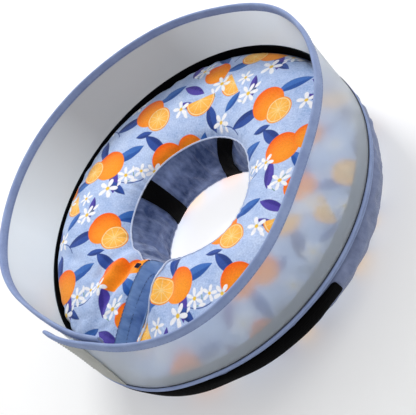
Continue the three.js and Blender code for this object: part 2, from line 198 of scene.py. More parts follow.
def catmull(a, b, c, d, t):
    return b + 0.5 * t * (c - a + t * (2 * a - 5 * b + 4 * c - d + t * (3 * (b - c) + d - a)))


def around_ring(column, angle):
    """A column of ROUND at any angle, on a closed smooth curve through its rows."""
    rows = np.asarray(ROUND[column], float)
    place = np.mod(angle, 360.0) / (360.0 / len(rows))
    k = np.floor(place).astype(int)
    a, b, c, d = (rows[(k + step) % len(rows)] for step in (-1, 0, 1, 2))
    return catmull(a, b, c, d, place - k)


def polar(radius, angle, height):
    turn = np.radians(angle)
    return np.stack(np.broadcast_arrays(radius * np.cos(turn), radius * np.sin(turn), height), -1)


def level(turn):
    """The level direction at a turn in radians."""
    return np.array([math.cos(turn), math.sin(turn), 0.0])


def out_of_end(side):
    """The direction square to the split, out of the ring's right end (1) or left end (-1)."""
    return -side * level(math.radians(SPLIT_ANGLE + 90))


def drawn_in(radius, angle):
    """A radius after the shield's seam is drawn in, less and less towards the neck hole."""
    share = np.clip((radius - HOLE_RADIUS) / (SEAM_RADIUS - HOLE_RADIUS), 0, 1)
    at_seam = share * around_ring("waist", angle) * SEAM_RADIUS
    return radius - at_seam - (1 - share) * around_ring("neck", angle) * HOLE_RADIUS


def unit(vectors):
    return vectors / np.maximum(np.linalg.norm(vectors, axis=-1, keepdims=True), 1e-12)


def run_along(path):
    """How far along a line of points each one lies."""
    return np.r_[0, np.cumsum(np.linalg.norm(np.diff(path, axis=0), axis=1))]


def run_across(grid):
    """How far across a grid of points each one lies, from the first column."""
    steps = np.linalg.norm(np.diff(grid, axis=1), axis=2)
    return np.concatenate([np.zeros((len(grid), 1)), np.cumsum(steps, axis=1)], axis=1)


def ripple(place, seed, waves=6, low=1.0, high=9.0):
    """A smooth random curve of about unit height along a run from 0 to 1."""
    random = np.random.default_rng(SEED + seed)
    total = np.zeros_like(np.asarray(place, float))
    for _ in range(waves):
        total = total + np.sin(2 * math.pi * (random.uniform(low, high) * place + random.uniform()))
    return total / math.sqrt(waves / 2)


# Ring

def layer_offset(angle):
    """How far a wrap of the shield stands off the seam circle, outwards at the flap's end."""
    lap = TUCKED_END - 360 - FLAP_END
    outside = 1 - smooth((angle - FLAP_END - lap) / LAP_EASE)
    inside = smooth((angle - (TUCKED_END - lap - LAP_EASE)) / LAP_EASE)
    return (outside - inside) * LAYER_SPACING / 2


def cover_edge(angle):
    """Radius at which the ring's cloth meets the shield's foot."""
    turn = np.mod(angle - SPLIT_ANGLE, 360) + SPLIT_ANGLE
    return SEAM_RADIUS - abs(layer_offset(turn)) - FOOT_BINDING_WIDTH / 2 - ROOM


def curve_through(points, count):
    """Points at even spacing on a smooth curve through the given ones."""
    points = np.asarray(points, float)
    last = len(points) - 1
    place = np.linspace(0, last, 40 * last + 1)
    k = np.minimum(place.astype(int), last - 1)
    a, b, c, d = (points[np.clip(k + step, 0, last)] for step in (-1, 0, 1, 2))
    fine = catmull(a, b, c, d, (place - k)[:, None])
    run = run_along(fine)
    at = np.linspace(0, run[-1], count + 1)
    return np.stack([np.interp(at, run, fine[:, i]) for i in range(2)], -1)


def panel_outline(name, angle):
    """The points of one panel across the ring's section, as radius and height."""
    crown = float(around_ring("crown", angle)) * RING_HEIGHT if name == "front" else 0.0
    side = float(around_ring("side", angle)) * SEAM_RADIUS if name == "gusset" else 0.0
    shoulder = float(around_ring("shoulder", angle)) if name == "front" else 0.0
    tuck = float(around_ring("tuck", angle)) * TUCK_DEPTH
    lip = float(around_ring("lip", angle))
    lip_row, lip_reach, lip_rise = LIP.get(name, (0.0, 1.0, 0.0))
    rows = []
    for across, up, give in SECTION[name]:
        rise, reach = SHOULDER.get(across, (0.0, 0.0))
        beside = (up if name == "hole" else across) - lip_row
        raised = lip * lip_rise * max(0.0, 1.0 - beside / lip_reach)
        radius = mix(HOLE_RADIUS, SEAM_RADIUS, across + reach * shoulder) + give * side
        if name == "gusset" or (name == "back" and across > TUCK_FROM):
            radius -= tuck * np.interp(up, *TUCK_SHAPE)
        rows.append((radius, (up + rise * shoulder + raised) * RING_HEIGHT + give * crown))
    edge = float(cover_edge(angle))
    if name == "front":
        rows.append((edge - STRIP_WALL, SEAM_HEIGHT - 0.0003))
    if name == "gusset":
        rows.insert(0, (edge, SEAM_HEIGHT - FOOT_BINDING_HEIGHT - ROOM))
    outline = curve_through(rows, CELLS[name])
    outline[:, 1] = np.maximum(outline[:, 1], 0)
    return outline


def half_split(radius):
    """Half the width of the split at a radius."""
    share = (radius - HOLE_RADIUS) / (SEAM_RADIUS - HOLE_RADIUS)
    return mix(SPLIT_GAP_INNER, SPLIT_GAP_OUTER, share) / 2


def end_angle(radius, side):
    """Angle at which one end of the ring stands, at a radius."""
    turn = np.degrees(np.arcsin((half_split(radius) + side * SPLIT_OFFSET) / radius))
    return SPLIT_ANGLE + turn if side > 0 else SPLIT_ANGLE + 360 - turn


def ring_angle(radius, share):
    """Angle at a share of the way round from the right end to the left one."""
    return mix(end_angle(radius, 1), end_angle(radius, -1), share)


def ring_points():
    """Points of the ring's outside: one closed section loop for each station from end to end."""
    stations = []
    for j in range(RING_CELLS + 1):
        share = j / RING_CELLS
        angle = float(ring_angle((SEAM_RADIUS + HOLE_RADIUS) / 2, share))
        outlines = {name: panel_outline(name, angle) for name in SECTION}
        loop = np.concatenate([
            outlines["hole"][:-1], outlines["front"], outlines["gusset"][:-1], outlines["back"][:-1],
        ])
        turns = ring_angle(loop[:, 0], share)
        stations.append(polar(drawn_in(loop[:, 0], turns), turns, loop[:, 1]))
    return np.array(stations)


def cap_points(rim, side):
    """Rings of points that close one end of the ring with a dome, and the point in its middle."""
    towards = out_of_end(side)
    centre = rim.mean(axis=0)
    rings = []
    for k in range(1, CAP_RINGS + 1):
        share = 1 - k / CAP_RINGS
        bulge = CAP_DEPTH[side] * (1 - share ** 2.2)
        rings.append(mix(centre, rim, share) + towards * bulge)
    return np.array(rings[:-1]), rings[-1][0]


class ClosedRing:
    """The ring's whole outside as one closed mesh, which the cloth simulation puffs."""

    def __init__(self):
        grid = ring_points()
        stations, count = grid.shape[:2]
        points = [grid.reshape(-1, 3)]
        faces = []
        around = np.arange(count)
        after = (around + 1) % count
        for j in range(stations - 1):
            a, b = j * count + around, j * count + after
            faces += np.stack([a, b, b + count, a + count], -1).tolist()
        start = stations * count
        self.caps = {}
        for side, station in ((1, 0), (-1, stations - 1)):
            rim = station * count + around
            rings, middle = cap_points(grid[station], side)
            points += [rings.reshape(-1, 3), middle[None]]
            index = start + np.arange(len(rings) * count).reshape(-1, count)
            tip = start + index.size
            start = tip + 1
            levels = np.vstack([rim, index])
            for outer, inner in zip(levels[:-1], levels[1:]):
                quads = np.stack([outer, outer[after], inner[after], inner], -1)
                faces += (quads[:, ::-1] if side > 0 else quads).tolist()
            tips = np.stack([levels[-1], levels[-1][after], np.full(count, tip)], -1)
            faces += (tips[:, ::-1] if side > 0 else tips).tolist()
            self.caps[side] = (levels, tip)
        self.points = np.concatenate(points)
        self.faces = facing_out(self.points, faces)
        self.grid = np.arange(stations * count).reshape(stations, count)

    def normals(self):
        """The direction out of the ring at each point, from the faces round it."""
        summed = np.zeros_like(self.points)
        for size in (3, 4):
            faces = np.array([face for face in self.faces if len(face) == size])
            corners = self.points[faces]
            square = np.cross(corners[:, 2] - corners[:, 0], corners[:, -1] - corners[:, 1])
            for i in range(size):
                np.add.at(summed, faces[:, i], square)
        return unit(summed)

    def pins(self):
        """How firmly each point is held: sewn seams hold, and the cloth between them is free."""
        weight = np.zeros(len(self.points))
        for end in (0, -1):
            weight[self.grid[end]] = END_HOLD
        for column in {place % LOOP_POINTS for span in SPANS.values() for place in span}:
            weight[self.grid[:, column]] = 1.0
        return weight

    def puff(self, pressure, slack, most_move):
        """Blows the ring up as cloth between its held seams, and keeps the result."""
        mesh = bpy.data.meshes.new("puffing")
        mesh.from_pydata(self.points.tolist(), [], self.faces)
        item = bpy.data.objects.new("puffing", mesh)
        bpy.context.scene.collection.objects.link(item)
        group = item.vertex_groups.new(name="held")
        for index, weight in enumerate(self.pins()):
            if weight > 0:
                group.add([index], float(weight), "REPLACE")
        cloth = item.modifiers.new("Cloth", "CLOTH")
        for name, value in PLUSH.items():
            setattr(cloth.settings, name, value)
        cloth.settings.use_pressure = True
        cloth.settings.uniform_pressure_force = pressure
        cloth.settings.shrink_min = -slack
        cloth.settings.vertex_group_mass = group.name
        cloth.settings.effector_weights.gravity = 0
        cloth.collision_settings.use_collision = False
        cloth.collision_settings.use_self_collision = False
        cloth.point_cache.frame_start = 1
        cloth.point_cache.frame_end = SIM_FRAMES
        scene = bpy.context.scene
        for moment in range(1, SIM_FRAMES + 1):
            scene.frame_set(moment)
        shown = item.evaluated_get(bpy.context.evaluated_depsgraph_get())
        settled = np.zeros(len(self.points) * 3)
        shown.data.vertices.foreach_get("co", settled)
        scene.frame_set(1)
        bpy.data.objects.remove(item)
        bpy.data.meshes.remove(mesh)
        move = settled.reshape(-1, 3) - self.points
        if not np.isfinite(move).all():
            raise RuntimeError("the ring's cloth simulation gave points that aren't numbers")
        length = np.maximum(np.linalg.norm(move, axis=1, keepdims=True), 1e-9)
        most = np.full((len(move), 1), most_move)
        first, last = SPANS["gusset"]
        most[self.grid[:, first:last + 1]] = most_move * GUSSET_GIVE
        self.points = self.points + move / length * most * np.tanh(length / most)
        self.points[:, 2] = np.maximum(self.points[:, 2], 0)


# Meshes

def finer(grid):
    """A grid with a point added between each two, on smooth curves both ways."""
    for axis in (0, 1):
        moved = np.moveaxis(grid, axis, 0)
        before = np.concatenate([2 * moved[:1] - moved[1:2], moved[:-2]])
        after = np.concatenate([moved[2:], 2 * moved[-1:] - moved[-2:-1]])
        middle = (9 * (moved[:-1] + moved[1:]) - before - after) / 16
        wide = np.empty((2 * len(moved) - 1, *moved.shape[1:]))
        wide[::2], wide[1::2] = moved, middle
        grid = np.moveaxis(wide, 0, axis)
    return grid


def facing_out(points, faces):
    """The faces of a closed piece, all turned over if they face inwards."""
    volume = 0.0
    for size in {len(face) for face in faces}:
        corners = points[np.array([face for face in faces if len(face) == size])]
        for k in range(1, size - 1):
            volume += np.einsum("ij,ij->", corners[:, 0], np.cross(corners[:, k], corners[:, k + 1]))
    return [face[::-1] for face in faces] if volume < 0 else faces


def make_piece(name, points, faces, lay=None, crease=50):
    """A mesh object in the scene, shaded smooth but for its sharp edges."""
    mesh = bpy.data.meshes.new(name)
    mesh.from_pydata(np.asarray(points).reshape(-1, 3).tolist(), [], faces)
    mesh.polygons.foreach_set("use_smooth", [True] * len(mesh.polygons))
    mesh.set_sharp_from_angle(angle=math.radians(crease))
    if lay is not None:
        flat = np.zeros((len(mesh.vertices), 3), np.float32)
        flat[:, :np.shape(lay)[-1]] = np.asarray(lay).reshape(len(flat), -1)
        mesh.attributes.new(LAY, "FLOAT_VECTOR", "POINT").data.foreach_set("vector", flat.ravel())
    if mesh.validate():
        raise RuntimeError(f"{name} had faces that aren't valid")
    item = bpy.data.objects.new(name, mesh)
    bpy.context.scene.collection.objects.link(item)
    return item


def grid_faces(rows, columns, start=0):
    """The quads of a grid of points whose first one has the given number."""
    index = start + np.arange(rows * columns).reshape(rows, columns)
    quads = np.stack([index[:-1, :-1], index[:-1, 1:], index[1:, 1:], index[1:, :-1]], -1)
    return quads.reshape(-1, 4)


def solid_sheet(name, outer, inner, lay):
    """A closed piece between two grids of points, out along one and back along the other."""
    rows, columns = outer.shape[:2]
    size = rows * columns
    index = np.arange(size).reshape(rows, columns)
    rim = np.concatenate([index[0], index[1:, -1], index[-1, -2::-1], index[-2:0:-1, 0]])
    edge = np.stack([rim, rim + size, np.roll(rim, -1) + size, np.roll(rim, -1)], -1)
    faces = np.concatenate([
        grid_faces(rows, columns), grid_faces(rows, columns, size)[:, ::-1], edge,
    ])
    points = np.concatenate([outer.reshape(-1, 3), inner.reshape(-1, 3)])
    lay = np.concatenate([lay, lay]).reshape(2 * size, -1)
    return make_piece(name, points, facing_out(points, faces.tolist()), lay)


def loft(name, loops, lay, crease=50):
    """A closed piece through a row of closed loops, with a face over each end."""
    loops = np.asarray(loops)
    stations, count = loops.shape[:2]
    index = np.arange(stations * count).reshape(stations, count)
    after = np.roll(index, -1, axis=1)
    sides = np.stack([index[:-1], after[:-1], after[1:], index[1:]], -1).reshape(-1, 4)
    faces = sides.tolist() + [index[0][::-1].tolist(), index[-1].tolist()]
    return make_piece(name, loops, facing_out(loops.reshape(-1, 3), faces), lay, crease)


def around_cord(side, top, turn):
    """Directions round a cord, for each of its points and turns, from its side and its top."""
    return side[:, None] * np.cos(turn)[None, :, None] + top[:, None] * np.sin(turn)[None, :, None]


def tube(name, path, radius, sides=8):
    """A round cord along a line of points."""
    along = unit(np.gradient(path, axis=0))
    side = unit(np.cross(along, (0.0, 0.0, 1.0)) + 1e-9)
    turn = np.linspace(0, 2 * math.pi, sides, endpoint=False)
    loops = path[:, None] + around_cord(side, np.cross(side, along), turn) * radius
    lay = np.stack(np.broadcast_arrays(run_along(path)[:, None], turn[None] * radius, 0.0), -1)
    return loft(name, loops, lay, 80)


def stitches(name, path, outward, radius, length=STITCH_LENGTH, gap=STITCH_GAP):
    """A row of short raised threads along a line, each dipping into the cloth at its two ends."""
    outward = unit(outward)
    run = run_along(path)
    starts = np.arange(gap, run[-1] - length, length + gap)
    points, faces, lay = [], [], []
    sides, rings = 6, 5
    turn = np.linspace(0, 2 * math.pi, sides, endpoint=False)
    for start in starts:
        at = start + length * np.linspace(0, 1, rings)
        place = np.stack([np.interp(at, run, path[:, i]) for i in range(3)], -1)
        out = unit(np.stack([np.interp(at, run, outward[:, i]) for i in range(3)], -1))
        along = unit(np.gradient(place, axis=0))
        side = unit(np.cross(along, out))
        arch = np.sin(math.pi * np.linspace(0, 1, rings))
        fat = radius * (0.55 + 0.45 * arch)
        centre = place + out * (arch[:, None] * radius * 1.1 - radius * 0.45)
        loops = centre[:, None] + around_cord(side, out, turn) * fat[:, None, None]
        base = len(points) * rings * sides
        index = base + np.arange(rings * sides).reshape(rings, sides)
        after = np.roll(index, -1, axis=1)
        faces += np.stack([index[:-1], index[1:], after[1:], after[:-1]], -1).reshape(-1, 4).tolist()
        faces += [index[0].tolist(), index[-1][::-1].tolist()]
        points.append(loops.reshape(-1, 3))
        flat = np.stack(np.broadcast_arrays(at[:, None], turn[None] * radius, 0.0), -1)
        lay.append(flat.reshape(-1, 3))
    return make_piece(name, np.concatenate(points), faces, np.concatenate(lay), 80)


def place_piece(item, material, nodes=()):
    """Gives a finished piece its material and its body, and hides the CAD nodes it stands for."""
    item.data.materials.append(material)
    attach(item, BODY)
    if nodes:
        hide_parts(*nodes)
    return item


# Materials

WEAVE_PITCH = 0.0009
TWILL_PITCH = 0.0016
RIB_PITCH = 0.0016
PLY_PITCH = 0.0007
PAINTED_SHADE_ANGLE = 72.0  # middle of the sheet's painted shade, a darker tint round the far side of the ring, its half width and its fade, in degrees
PAINTED_SHADE_HALF = 20.0
PAINTED_SHADE_FADE = 44.0
POOL_RADIUS = 0.07
POOL_FADE = 0.07


def paint(code):
    """A colour written as six hexadecimal digits, as the linear numbers that shaders use."""
    parts = [int(code[i:i + 2], 16) / 255 for i in (0, 2, 4)]
    linear = [c / 12.92 if c <= 0.04045 else ((c + 0.055) / 1.055) ** 2.4 for c in parts]
    return (*linear, 1.0)


class Value:
    """A number that a finish works out at each point. Python's operators on it add Math nodes."""

    def __init__(self, finish, socket):
        self.finish = finish
        self.socket = socket

    def math(self, operation, *others, clamp=False):
        node = self.finish.node(
            "ShaderNodeMath", {"operation": operation, "use_clamp": clamp},
            dict(enumerate((self, *others))),
        )
        return Value(self.finish, node.outputs[0])

    def _turned(self, operation, first):
        node = self.finish.node("ShaderNodeMath", {"operation": operation}, {0: first, 1: self})
        return Value(self.finish, node.outputs[0])

    def __add__(self, other):
        return self.math("ADD", other)

    def __sub__(self, other):
        return self.math("SUBTRACT", other)

    def __mul__(self, other):
        return self.math("MULTIPLY", other)

    def __truediv__(self, other):
        return self.math("DIVIDE", other)

    def __pow__(self, other):
        return self.math("POWER", other)

    def __rsub__(self, other):
        return self._turned("SUBTRACT", other)

    def __rtruediv__(self, other):
        return self._turned("DIVIDE", other)

    def __abs__(self):
        return self.math("ABSOLUTE")

    __radd__ = __add__
    __rmul__ = __mul__

    def within(self, edge):
        """1 where this distance is above zero and 0 where it is below, soft over the edge's width."""
        return self.math("MULTIPLY_ADD", 1 / edge, 0.5, clamp=True)


class Finish:
    """A material under construction, with its one shader and the nodes behind it."""

    def __init__(self, name, **constants):
        self.material = bpy.data.materials.new(name)
        self.material.use_nodes = True
        self.tree = self.material.node_tree
        self.shader = next(n for n in self.tree.nodes if n.type == "BSDF_PRINCIPLED")
        for socket, value in constants.items():
            self.shader.inputs[socket.replace("_", " ")].default_value = value

    def node(self, kind, settings=None, inputs=None):
        made = self.tree.nodes.new(kind)
        for name, value in (settings or {}).items():
            setattr(made, name, value)
        for key, value in (inputs or {}).items():
            if isinstance(value, Value):
                self.tree.links.new(value.socket, made.inputs[key])
            elif isinstance(value, bpy.types.NodeSocket):
                self.tree.links.new(value, made.inputs[key])
            else:
                made.inputs[key].default_value = value
        return made

    def lay(self):
        return self.node("ShaderNodeAttribute", {"attribute_name": LAY}).outputs["Vector"]

    def place(self):
        return self.node("ShaderNodeTexCoord").outputs["Object"]

    def noise(self, vector, scale, detail=2.0, roughness=0.5, stretch=None):
        if stretch is not None:
            vector = self.node(
                "ShaderNodeVectorMath", {"operation": "MULTIPLY"}, {0: vector, 1: stretch}
            ).outputs[0]
        node = self.node(
            "ShaderNodeTexNoise", {"noise_dimensions": "3D"},
            {"Vector": vector, "Scale": scale, "Detail": detail, "Roughness": roughness},
        )
        return Value(self, node.outputs[0])

    def split(self, vector):
        node = self.node("ShaderNodeSeparateXYZ", None, {0: vector})
        return [Value(self, socket) for socket in node.outputs]

    def blend(self, a, b, factor, kind="MIX"):
        node = self.node(
            "ShaderNodeMix", {"data_type": "RGBA", "blend_type": kind, "clamp_factor": True},
            {0: factor, 6: a, 7: b},
        )
        return node.outputs[2]

    def set(self, socket, value):
        if isinstance(value, Value):
            value = value.socket
        self.tree.links.new(value, self.shader.inputs[socket])

    def bump(self, height, distance, strength=1.0):
        node = self.node(
            "ShaderNodeBump", None, {"Strength": strength, "Distance": distance, "Height": height}
        )
        self.set("Normal", node.outputs[0])


# The print's repeat, in millimetres. Places are from the repeat's corner, turns in degrees.
REPEAT = (152.0, 134.0)
PRINT_SCALE = 1.1  # size of the print on the cloth
LEAVES = (
    # x, y, turn, half length, half width, colour
    (54, 47, 35, 20, 6.6, "royal"), (18, 53, 118, 17, 5.6, "navy"), (6, 12, 205, 15, 5.2, "royal"),
    (84, 60, 150, 18, 6.2, "navy"), (126, 31, -42, 18, 6.0, "royal"), (98, 19, -78, 16, 5.2, "violet"),
    (40, 84, 208, 19, 6.4, "navy"), (83, 118, 35, 18, 6.2, "royal"), (146, 88, -62, 16, 6.0, "navy"),
    (113, 120, 162, 16, 5.2, "violet"), (16, 103, 60, 12, 4.2, "royal"), (66, 70, 20, 10, 3.8, "navy"),
    (49, 17, -70, 16, 5.2, "violet"), (136, 66, 72, 10, 3.8, "royal"), (56, 9, -28, 13, 4.2, "navy"),
    (114, 102, -20, 12, 4.0, "violet"), (36, 118, 100, 13, 4.2, "violet"),
)
TWIGS = ((70, 17, 20, 12, 0.020), (24, 76, -30, 10, -0.022), (146, 30, 100, 9, 0.025))
BLOSSOMS = (
    # x, y, turn, radius, petals
    (46, 7, 10, 11.5, 5), (61, 24, 50, 10.0, 6), (76, 31, 20, 8.0, 5), (112, 12, 30, 10.5, 6),
    (89, 33, 0, 9.0, 5), (33, 110, 15, 11.0, 6), (104, 99, 40, 10.0, 5), (146, 125, 5, 10.5, 6),
    (7, 83, 60, 10.0, 5), (22, 129, 25, 8.5, 6), (149, 52, 35, 8.5, 5),
)
BUDS = (
    # x, y, turn, half length
    (71, 20, 20, 4.2), (57, 14, 70, 3.6), (67, 32, 110, 3.8), (118, 22, 60, 4.2), (104, 5, 150, 3.6),
    (41, 119, 55, 4.2), (25, 103, 160, 3.6), (112, 92, -40, 4.2), (15, 76, -50, 3.8), (138, 117, 130, 4.0),
)
# x, y, radius, warmth
ORANGES = ((36, 34, 17.5, 0.2), (101, 47, 17.0, 0.75), (122, 60, 13.5, 0.0), (133, 6, 14.5, 0.5),
           (62, 97, 17.5, 0.6))
ORANGE_TURN = 35
# x, y, radius, whether it is half a fruit, turn
CUT_FACES = ((16, 27, 13.5, False, 20), (78, 89, 14.0, False, 75), (126, 108, 17.0, True, 200),
             (10, 124, 14.5, True, 130))
CUT_SEGMENTS = 10
LEAF_PAINTS = {
    "navy": ("1f3a80", "2c4d9a"),
    "royal": ("2353a0", "3a6cb8"),
    "violet": ("3b2f8c", "4f41a4"),
}


class Print:
    """Draws the fruit, leaves and blossoms, one over the other, on a colour."""

    def __init__(self, finish, vector, ground, skin):
        self.finish = finish
        self.colour = ground
        self.skin = skin
        scale = 1000.0 / PRINT_SCALE
        self.flat = finish.node(
            "ShaderNodeVectorMath", {"operation": "MULTIPLY"}, {0: vector, 1: (scale, scale, 0.0)}
        ).outputs[0]

    def local(self, x, y, turn):
        """Distance across and up from a motif's middle, in millimetres, in its own turn."""
        finish = self.finish
        moved = finish.node(
            "ShaderNodeVectorMath", {"operation": "SUBTRACT"}, {0: self.flat, 1: (x, y, 0.0)}
        ).outputs[0]
        half = (REPEAT[0] / 2, REPEAT[1] / 2, 1.0)
        wrapped = finish.node(
            "ShaderNodeVectorMath", {"operation": "WRAP"}, {0: moved, 1: half, 2: [-h for h in half]}
        ).outputs[0]
        self.turned = finish.node(
            "ShaderNodeVectorRotate", {"rotation_type": "Z_AXIS"},
            {"Vector": wrapped, "Angle": -math.radians(turn)},
        ).outputs[0]
        return finish.split(self.turned)[:2]

    def reach(self):
        """Distance from the middle of the motif that was last begun."""
        node = self.finish.node("ShaderNodeVectorMath", {"operation": "LENGTH"}, {0: self.turned})
        return Value(self.finish, node.outputs["Value"])

    def lay_on(self, colour, mask):
        self.colour = self.finish.blend(self.colour, colour, mask)

    def leaf(self, x, y, turn, length, width, colour):
        dark, light = LEAF_PAINTS[colour]
        u, v = self.local(x, y, turn)
        share = u / length
        room = (1.0 - share * share) * width
        mask = (room - abs(v)).within(0.7)
        half = (v + 0.8).within(1.6)
        leaf = self.finish.blend(paint(dark), paint(light), half)
        self.lay_on(leaf, mask)

    def twig(self, x, y, turn, length, bend):
        u, v = self.local(x, y, turn)
        line = 0.55 - abs(v - u * u * bend)
        self.lay_on(paint("3b549c"), line.within(0.6) * (length - abs(u)).within(0.6))

    def blossom(self, x, y, turn, radius, petals):
        u, v = self.local(x, y, turn)
        reach = self.reach()
        ray = abs((v.math("ARCTAN2", u) * (petals / 2)).math("COSINE"))
        edge = (ray ** 1.25) * (radius * 0.84) + radius * 0.16
        petal = self.finish.blend(paint("c9cfe6"), paint("f6f5f7"), ray * 1.3 - 0.15)
        self.lay_on(petal, (edge - reach).within(0.8))
        self.lay_on(paint("efc640"), (radius * 0.19 - reach).within(0.9))

    def bud(self, x, y, turn, length):
        u, v = self.local(x, y, turn)
        stem = 0.4 - abs(v)
        self.lay_on(paint("6d9a78"), stem.within(0.5) * (length * 1.1 - abs(u + length)).within(0.6))
        share = u / length
        room = (1.0 - share * share) * (length * 0.42)
        self.lay_on(paint("f4f3f5"), (room - abs(v)).within(0.6))

    def orange(self, x, y, radius, warmth):
        _, v = self.local(x, y, ORANGE_TURN)
        reach = self.reach()
        round_off = (reach / radius) ** 2.5 * 0.55
        tone = v * (0.45 / radius) + round_off + 0.25 * warmth
        self.lay_on(self.finish.blend(*self.skin, tone), (radius - reach).within(0.7))

    def cut_face(self, x, y, radius, half, turn):
        u, v = self.local(x, y, turn)
        reach = self.reach()
        spokes = abs((v.math("ARCTAN2", u) * (CUT_SEGMENTS / 2)).math("COSINE"))
        flesh_edge = (radius - 2.2) - reach
        flesh = (spokes * reach * 0.4 - 0.35).within(1.2) * flesh_edge.within(0.9)
        tone = self.finish.blend(paint("ffc45c"), paint("fba52f"), (reach / radius) ** 2.0)
        rind = (radius - reach).within(0.7)
        pith = (radius - 1.2 - reach).within(0.7)
        if half:
            inside = (v + 1.0).within(0.7)
            rind, pith, flesh = rind * inside, pith * inside, flesh * inside
        self.lay_on(paint("f8921f"), rind)
        self.lay_on(paint("fde0a2"), pith)
        self.lay_on(tone, flesh)

    def draw(self):
        for row in TWIGS:
            self.twig(*row)
        for row in LEAVES:
            self.leaf(*row)
        for row in ORANGES:
            self.orange(*row)
        for row in CUT_FACES:
            self.cut_face(*row)
        for row in BUDS:
            self.bud(*row)
        for row in BLOSSOMS:
            self.blossom(*row)
        return self.colour


def plush_heights(finish, vector):
    """Height of short plush: fine fuzz with a coarser brushed grain."""
    fuzz = finish.noise(vector, 1500.0, 2.0, 0.6)
    brushed = finish.noise(vector, 160.0, 3.0, 0.55)
    return fuzz * 0.6 + brushed * 0.9


def print_plush(colours):
    look = Finish("Printed plush", Roughness=0.9, Sheen_Weight=0.22, Sheen_Roughness=0.45,
                  Specular_IOR_Level=0.15)
    vector = look.lay()
    heather = look.noise(vector, 520.0, 3.0, 0.6)
    cloud = look.noise(vector, 11.0, 2.0, 0.5)
    # Mid-sized random mottling, lighter and darker by turns.
    mottle = look.noise(vector, 70.0, 3.0, 0.6)
    share = (heather - 0.5) * 1.1 + (mottle - 0.5) * 1.2 + cloud
    ground = look.blend(colours.ground_dark, colours.ground_light, share)
    colour = Print(look, vector, ground, (colours.skin_light, colours.skin_dark)).draw()
    pile = look.blend(paint("e2e2e8"), paint("ffffff"), (heather - 0.5) * 1.8 + 0.7)
    look.set("Base Color", look.blend(colour, pile, 1.0, "MULTIPLY"))
    look.bump(plush_heights(look, vector), 0.0007)
    return look.material


def plain_plush(name, low, high, folds=0.0, patches=1.0):
    """Blue plush without a print, more or less crumpled, its colour broken into random patches of a given
    strength; strong patches, as on the hole's wall, are partly painted shade and painted sheen.
    """
    look = Finish(name, Roughness=0.95, Sheen_Weight=0.3, Sheen_Roughness=0.4,
                  Specular_IOR_Level=0.12)
    vector = look.lay()
    brushed = look.noise(vector, 190.0, 4.0, 0.6, (1.0, 0.45, 1.0))
    # Larger patches of colour; made strong, they are partly painted shade and painted sheen.
    cloud = (look.noise(vector, 18.0, 2.0, 0.5, (1.0, 1.8, 1.0)) - 0.5) * patches + 0.5
    look.set("Base Color", look.blend(low, high, (brushed - 0.5) * 1.5 + cloud))
    crumple = look.noise(vector, 42.0, 2.0, 0.5, (1.0, 0.5, 1.0)) * folds
    look.bump(plush_heights(look, vector) + crumple, 0.0008)
    return look.material


def woven_tape(name, low, high):
    look = Finish(name, Roughness=0.8, Sheen_Weight=0.15, Sheen_Roughness=0.4,
                  Specular_IOR_Level=0.25)
    vector = look.lay()
    along, across, _ = look.split(vector)
    turn = 2 * math.pi / WEAVE_PITCH
    weave = (along * turn).math("SINE") * (across * turn).math("SINE")
    mottle = look.noise(vector, 60.0, 3.0, 0.6)
    look.set("Base Color", look.blend(low, high, weave * 0.22 + mottle))
    look.bump(weave * 0.5 + look.noise(vector, 900.0) * 0.6, 0.0003)
    return look.material


def frosted_sheet():
    """A sheet with a faint haze, whose tint is darker round the far side of the ring: painted shade."""
    look = Finish("Frosted sheet", Transmission_Weight=0.78, IOR=1.2, Specular_IOR_Level=0.35)
    vector = look.lay()
    along, _, _ = look.split(vector)
    haze = look.noise(vector, 9.0, 3.0, 0.55)
    grain = look.noise(vector, 1200.0, 2.0, 0.6)
    degrees = along * (180 / (math.pi * SEAM_RADIUS)) + FLAP_END
    # Painted shade: the tint darkens round the far side of the ring.
    far = 1.0 - (abs(degrees - PAINTED_SHADE_ANGLE) - PAINTED_SHADE_HALF).math("DIVIDE", PAINTED_SHADE_FADE, clamp=True)
    clear = look.blend(paint("dfe6ee"), paint("edf2f7"), haze)
    painted_shade_tint = look.blend(paint("9fa0a4"), paint("adaeb1"), haze)
    look.set("Base Color", look.blend(clear, painted_shade_tint, far))
    look.set("Roughness", haze * 0.10 + 0.34)
    look.bump(haze * 2.0 + grain * 0.06, 0.0006, 0.6)
    return look.material


def ribbed_tape():
    look = Finish("Clear ribbed tape", Transmission_Weight=0.55, IOR=1.4, Specular_IOR_Level=0.5)
    vector = look.lay()
    along, _, _ = look.split(vector)
    rib = (along * (2 * math.pi / RIB_PITCH)).math("SINE")
    haze = look.noise(vector, 120.0, 3.0, 0.6)
    look.set("Base Color", look.blend(paint("c9cbc0"), paint("e2e3dc"), rib * 0.35 + haze))
    look.set("Roughness", haze * 0.2 + 0.25)
    look.bump(rib + haze * 0.3, 0.0004)
    return look.material


def webbing(low, high):
    look = Finish("Black webbing", Roughness=0.8, Specular_IOR_Level=0.04)
    vector = look.lay()
    along, across, _ = look.split(vector)
    twill = ((along + across * 0.8) * (2 * math.pi / TWILL_PITCH)).math("SINE")
    rib = (across * (2 * math.pi / (TWILL_PITCH * 1.3))).math("SINE")
    fluff = look.noise(vector, 700.0, 3.0, 0.65)
    look.set("Base Color", look.blend(low, high, twill * 0.2 + rib * 0.12 + fluff))
    look.set("Roughness", fluff * 0.25 + 0.6)
    look.bump(twill * 0.4 + rib * 0.3 + fluff * 0.5, 0.0004)
    return look.material


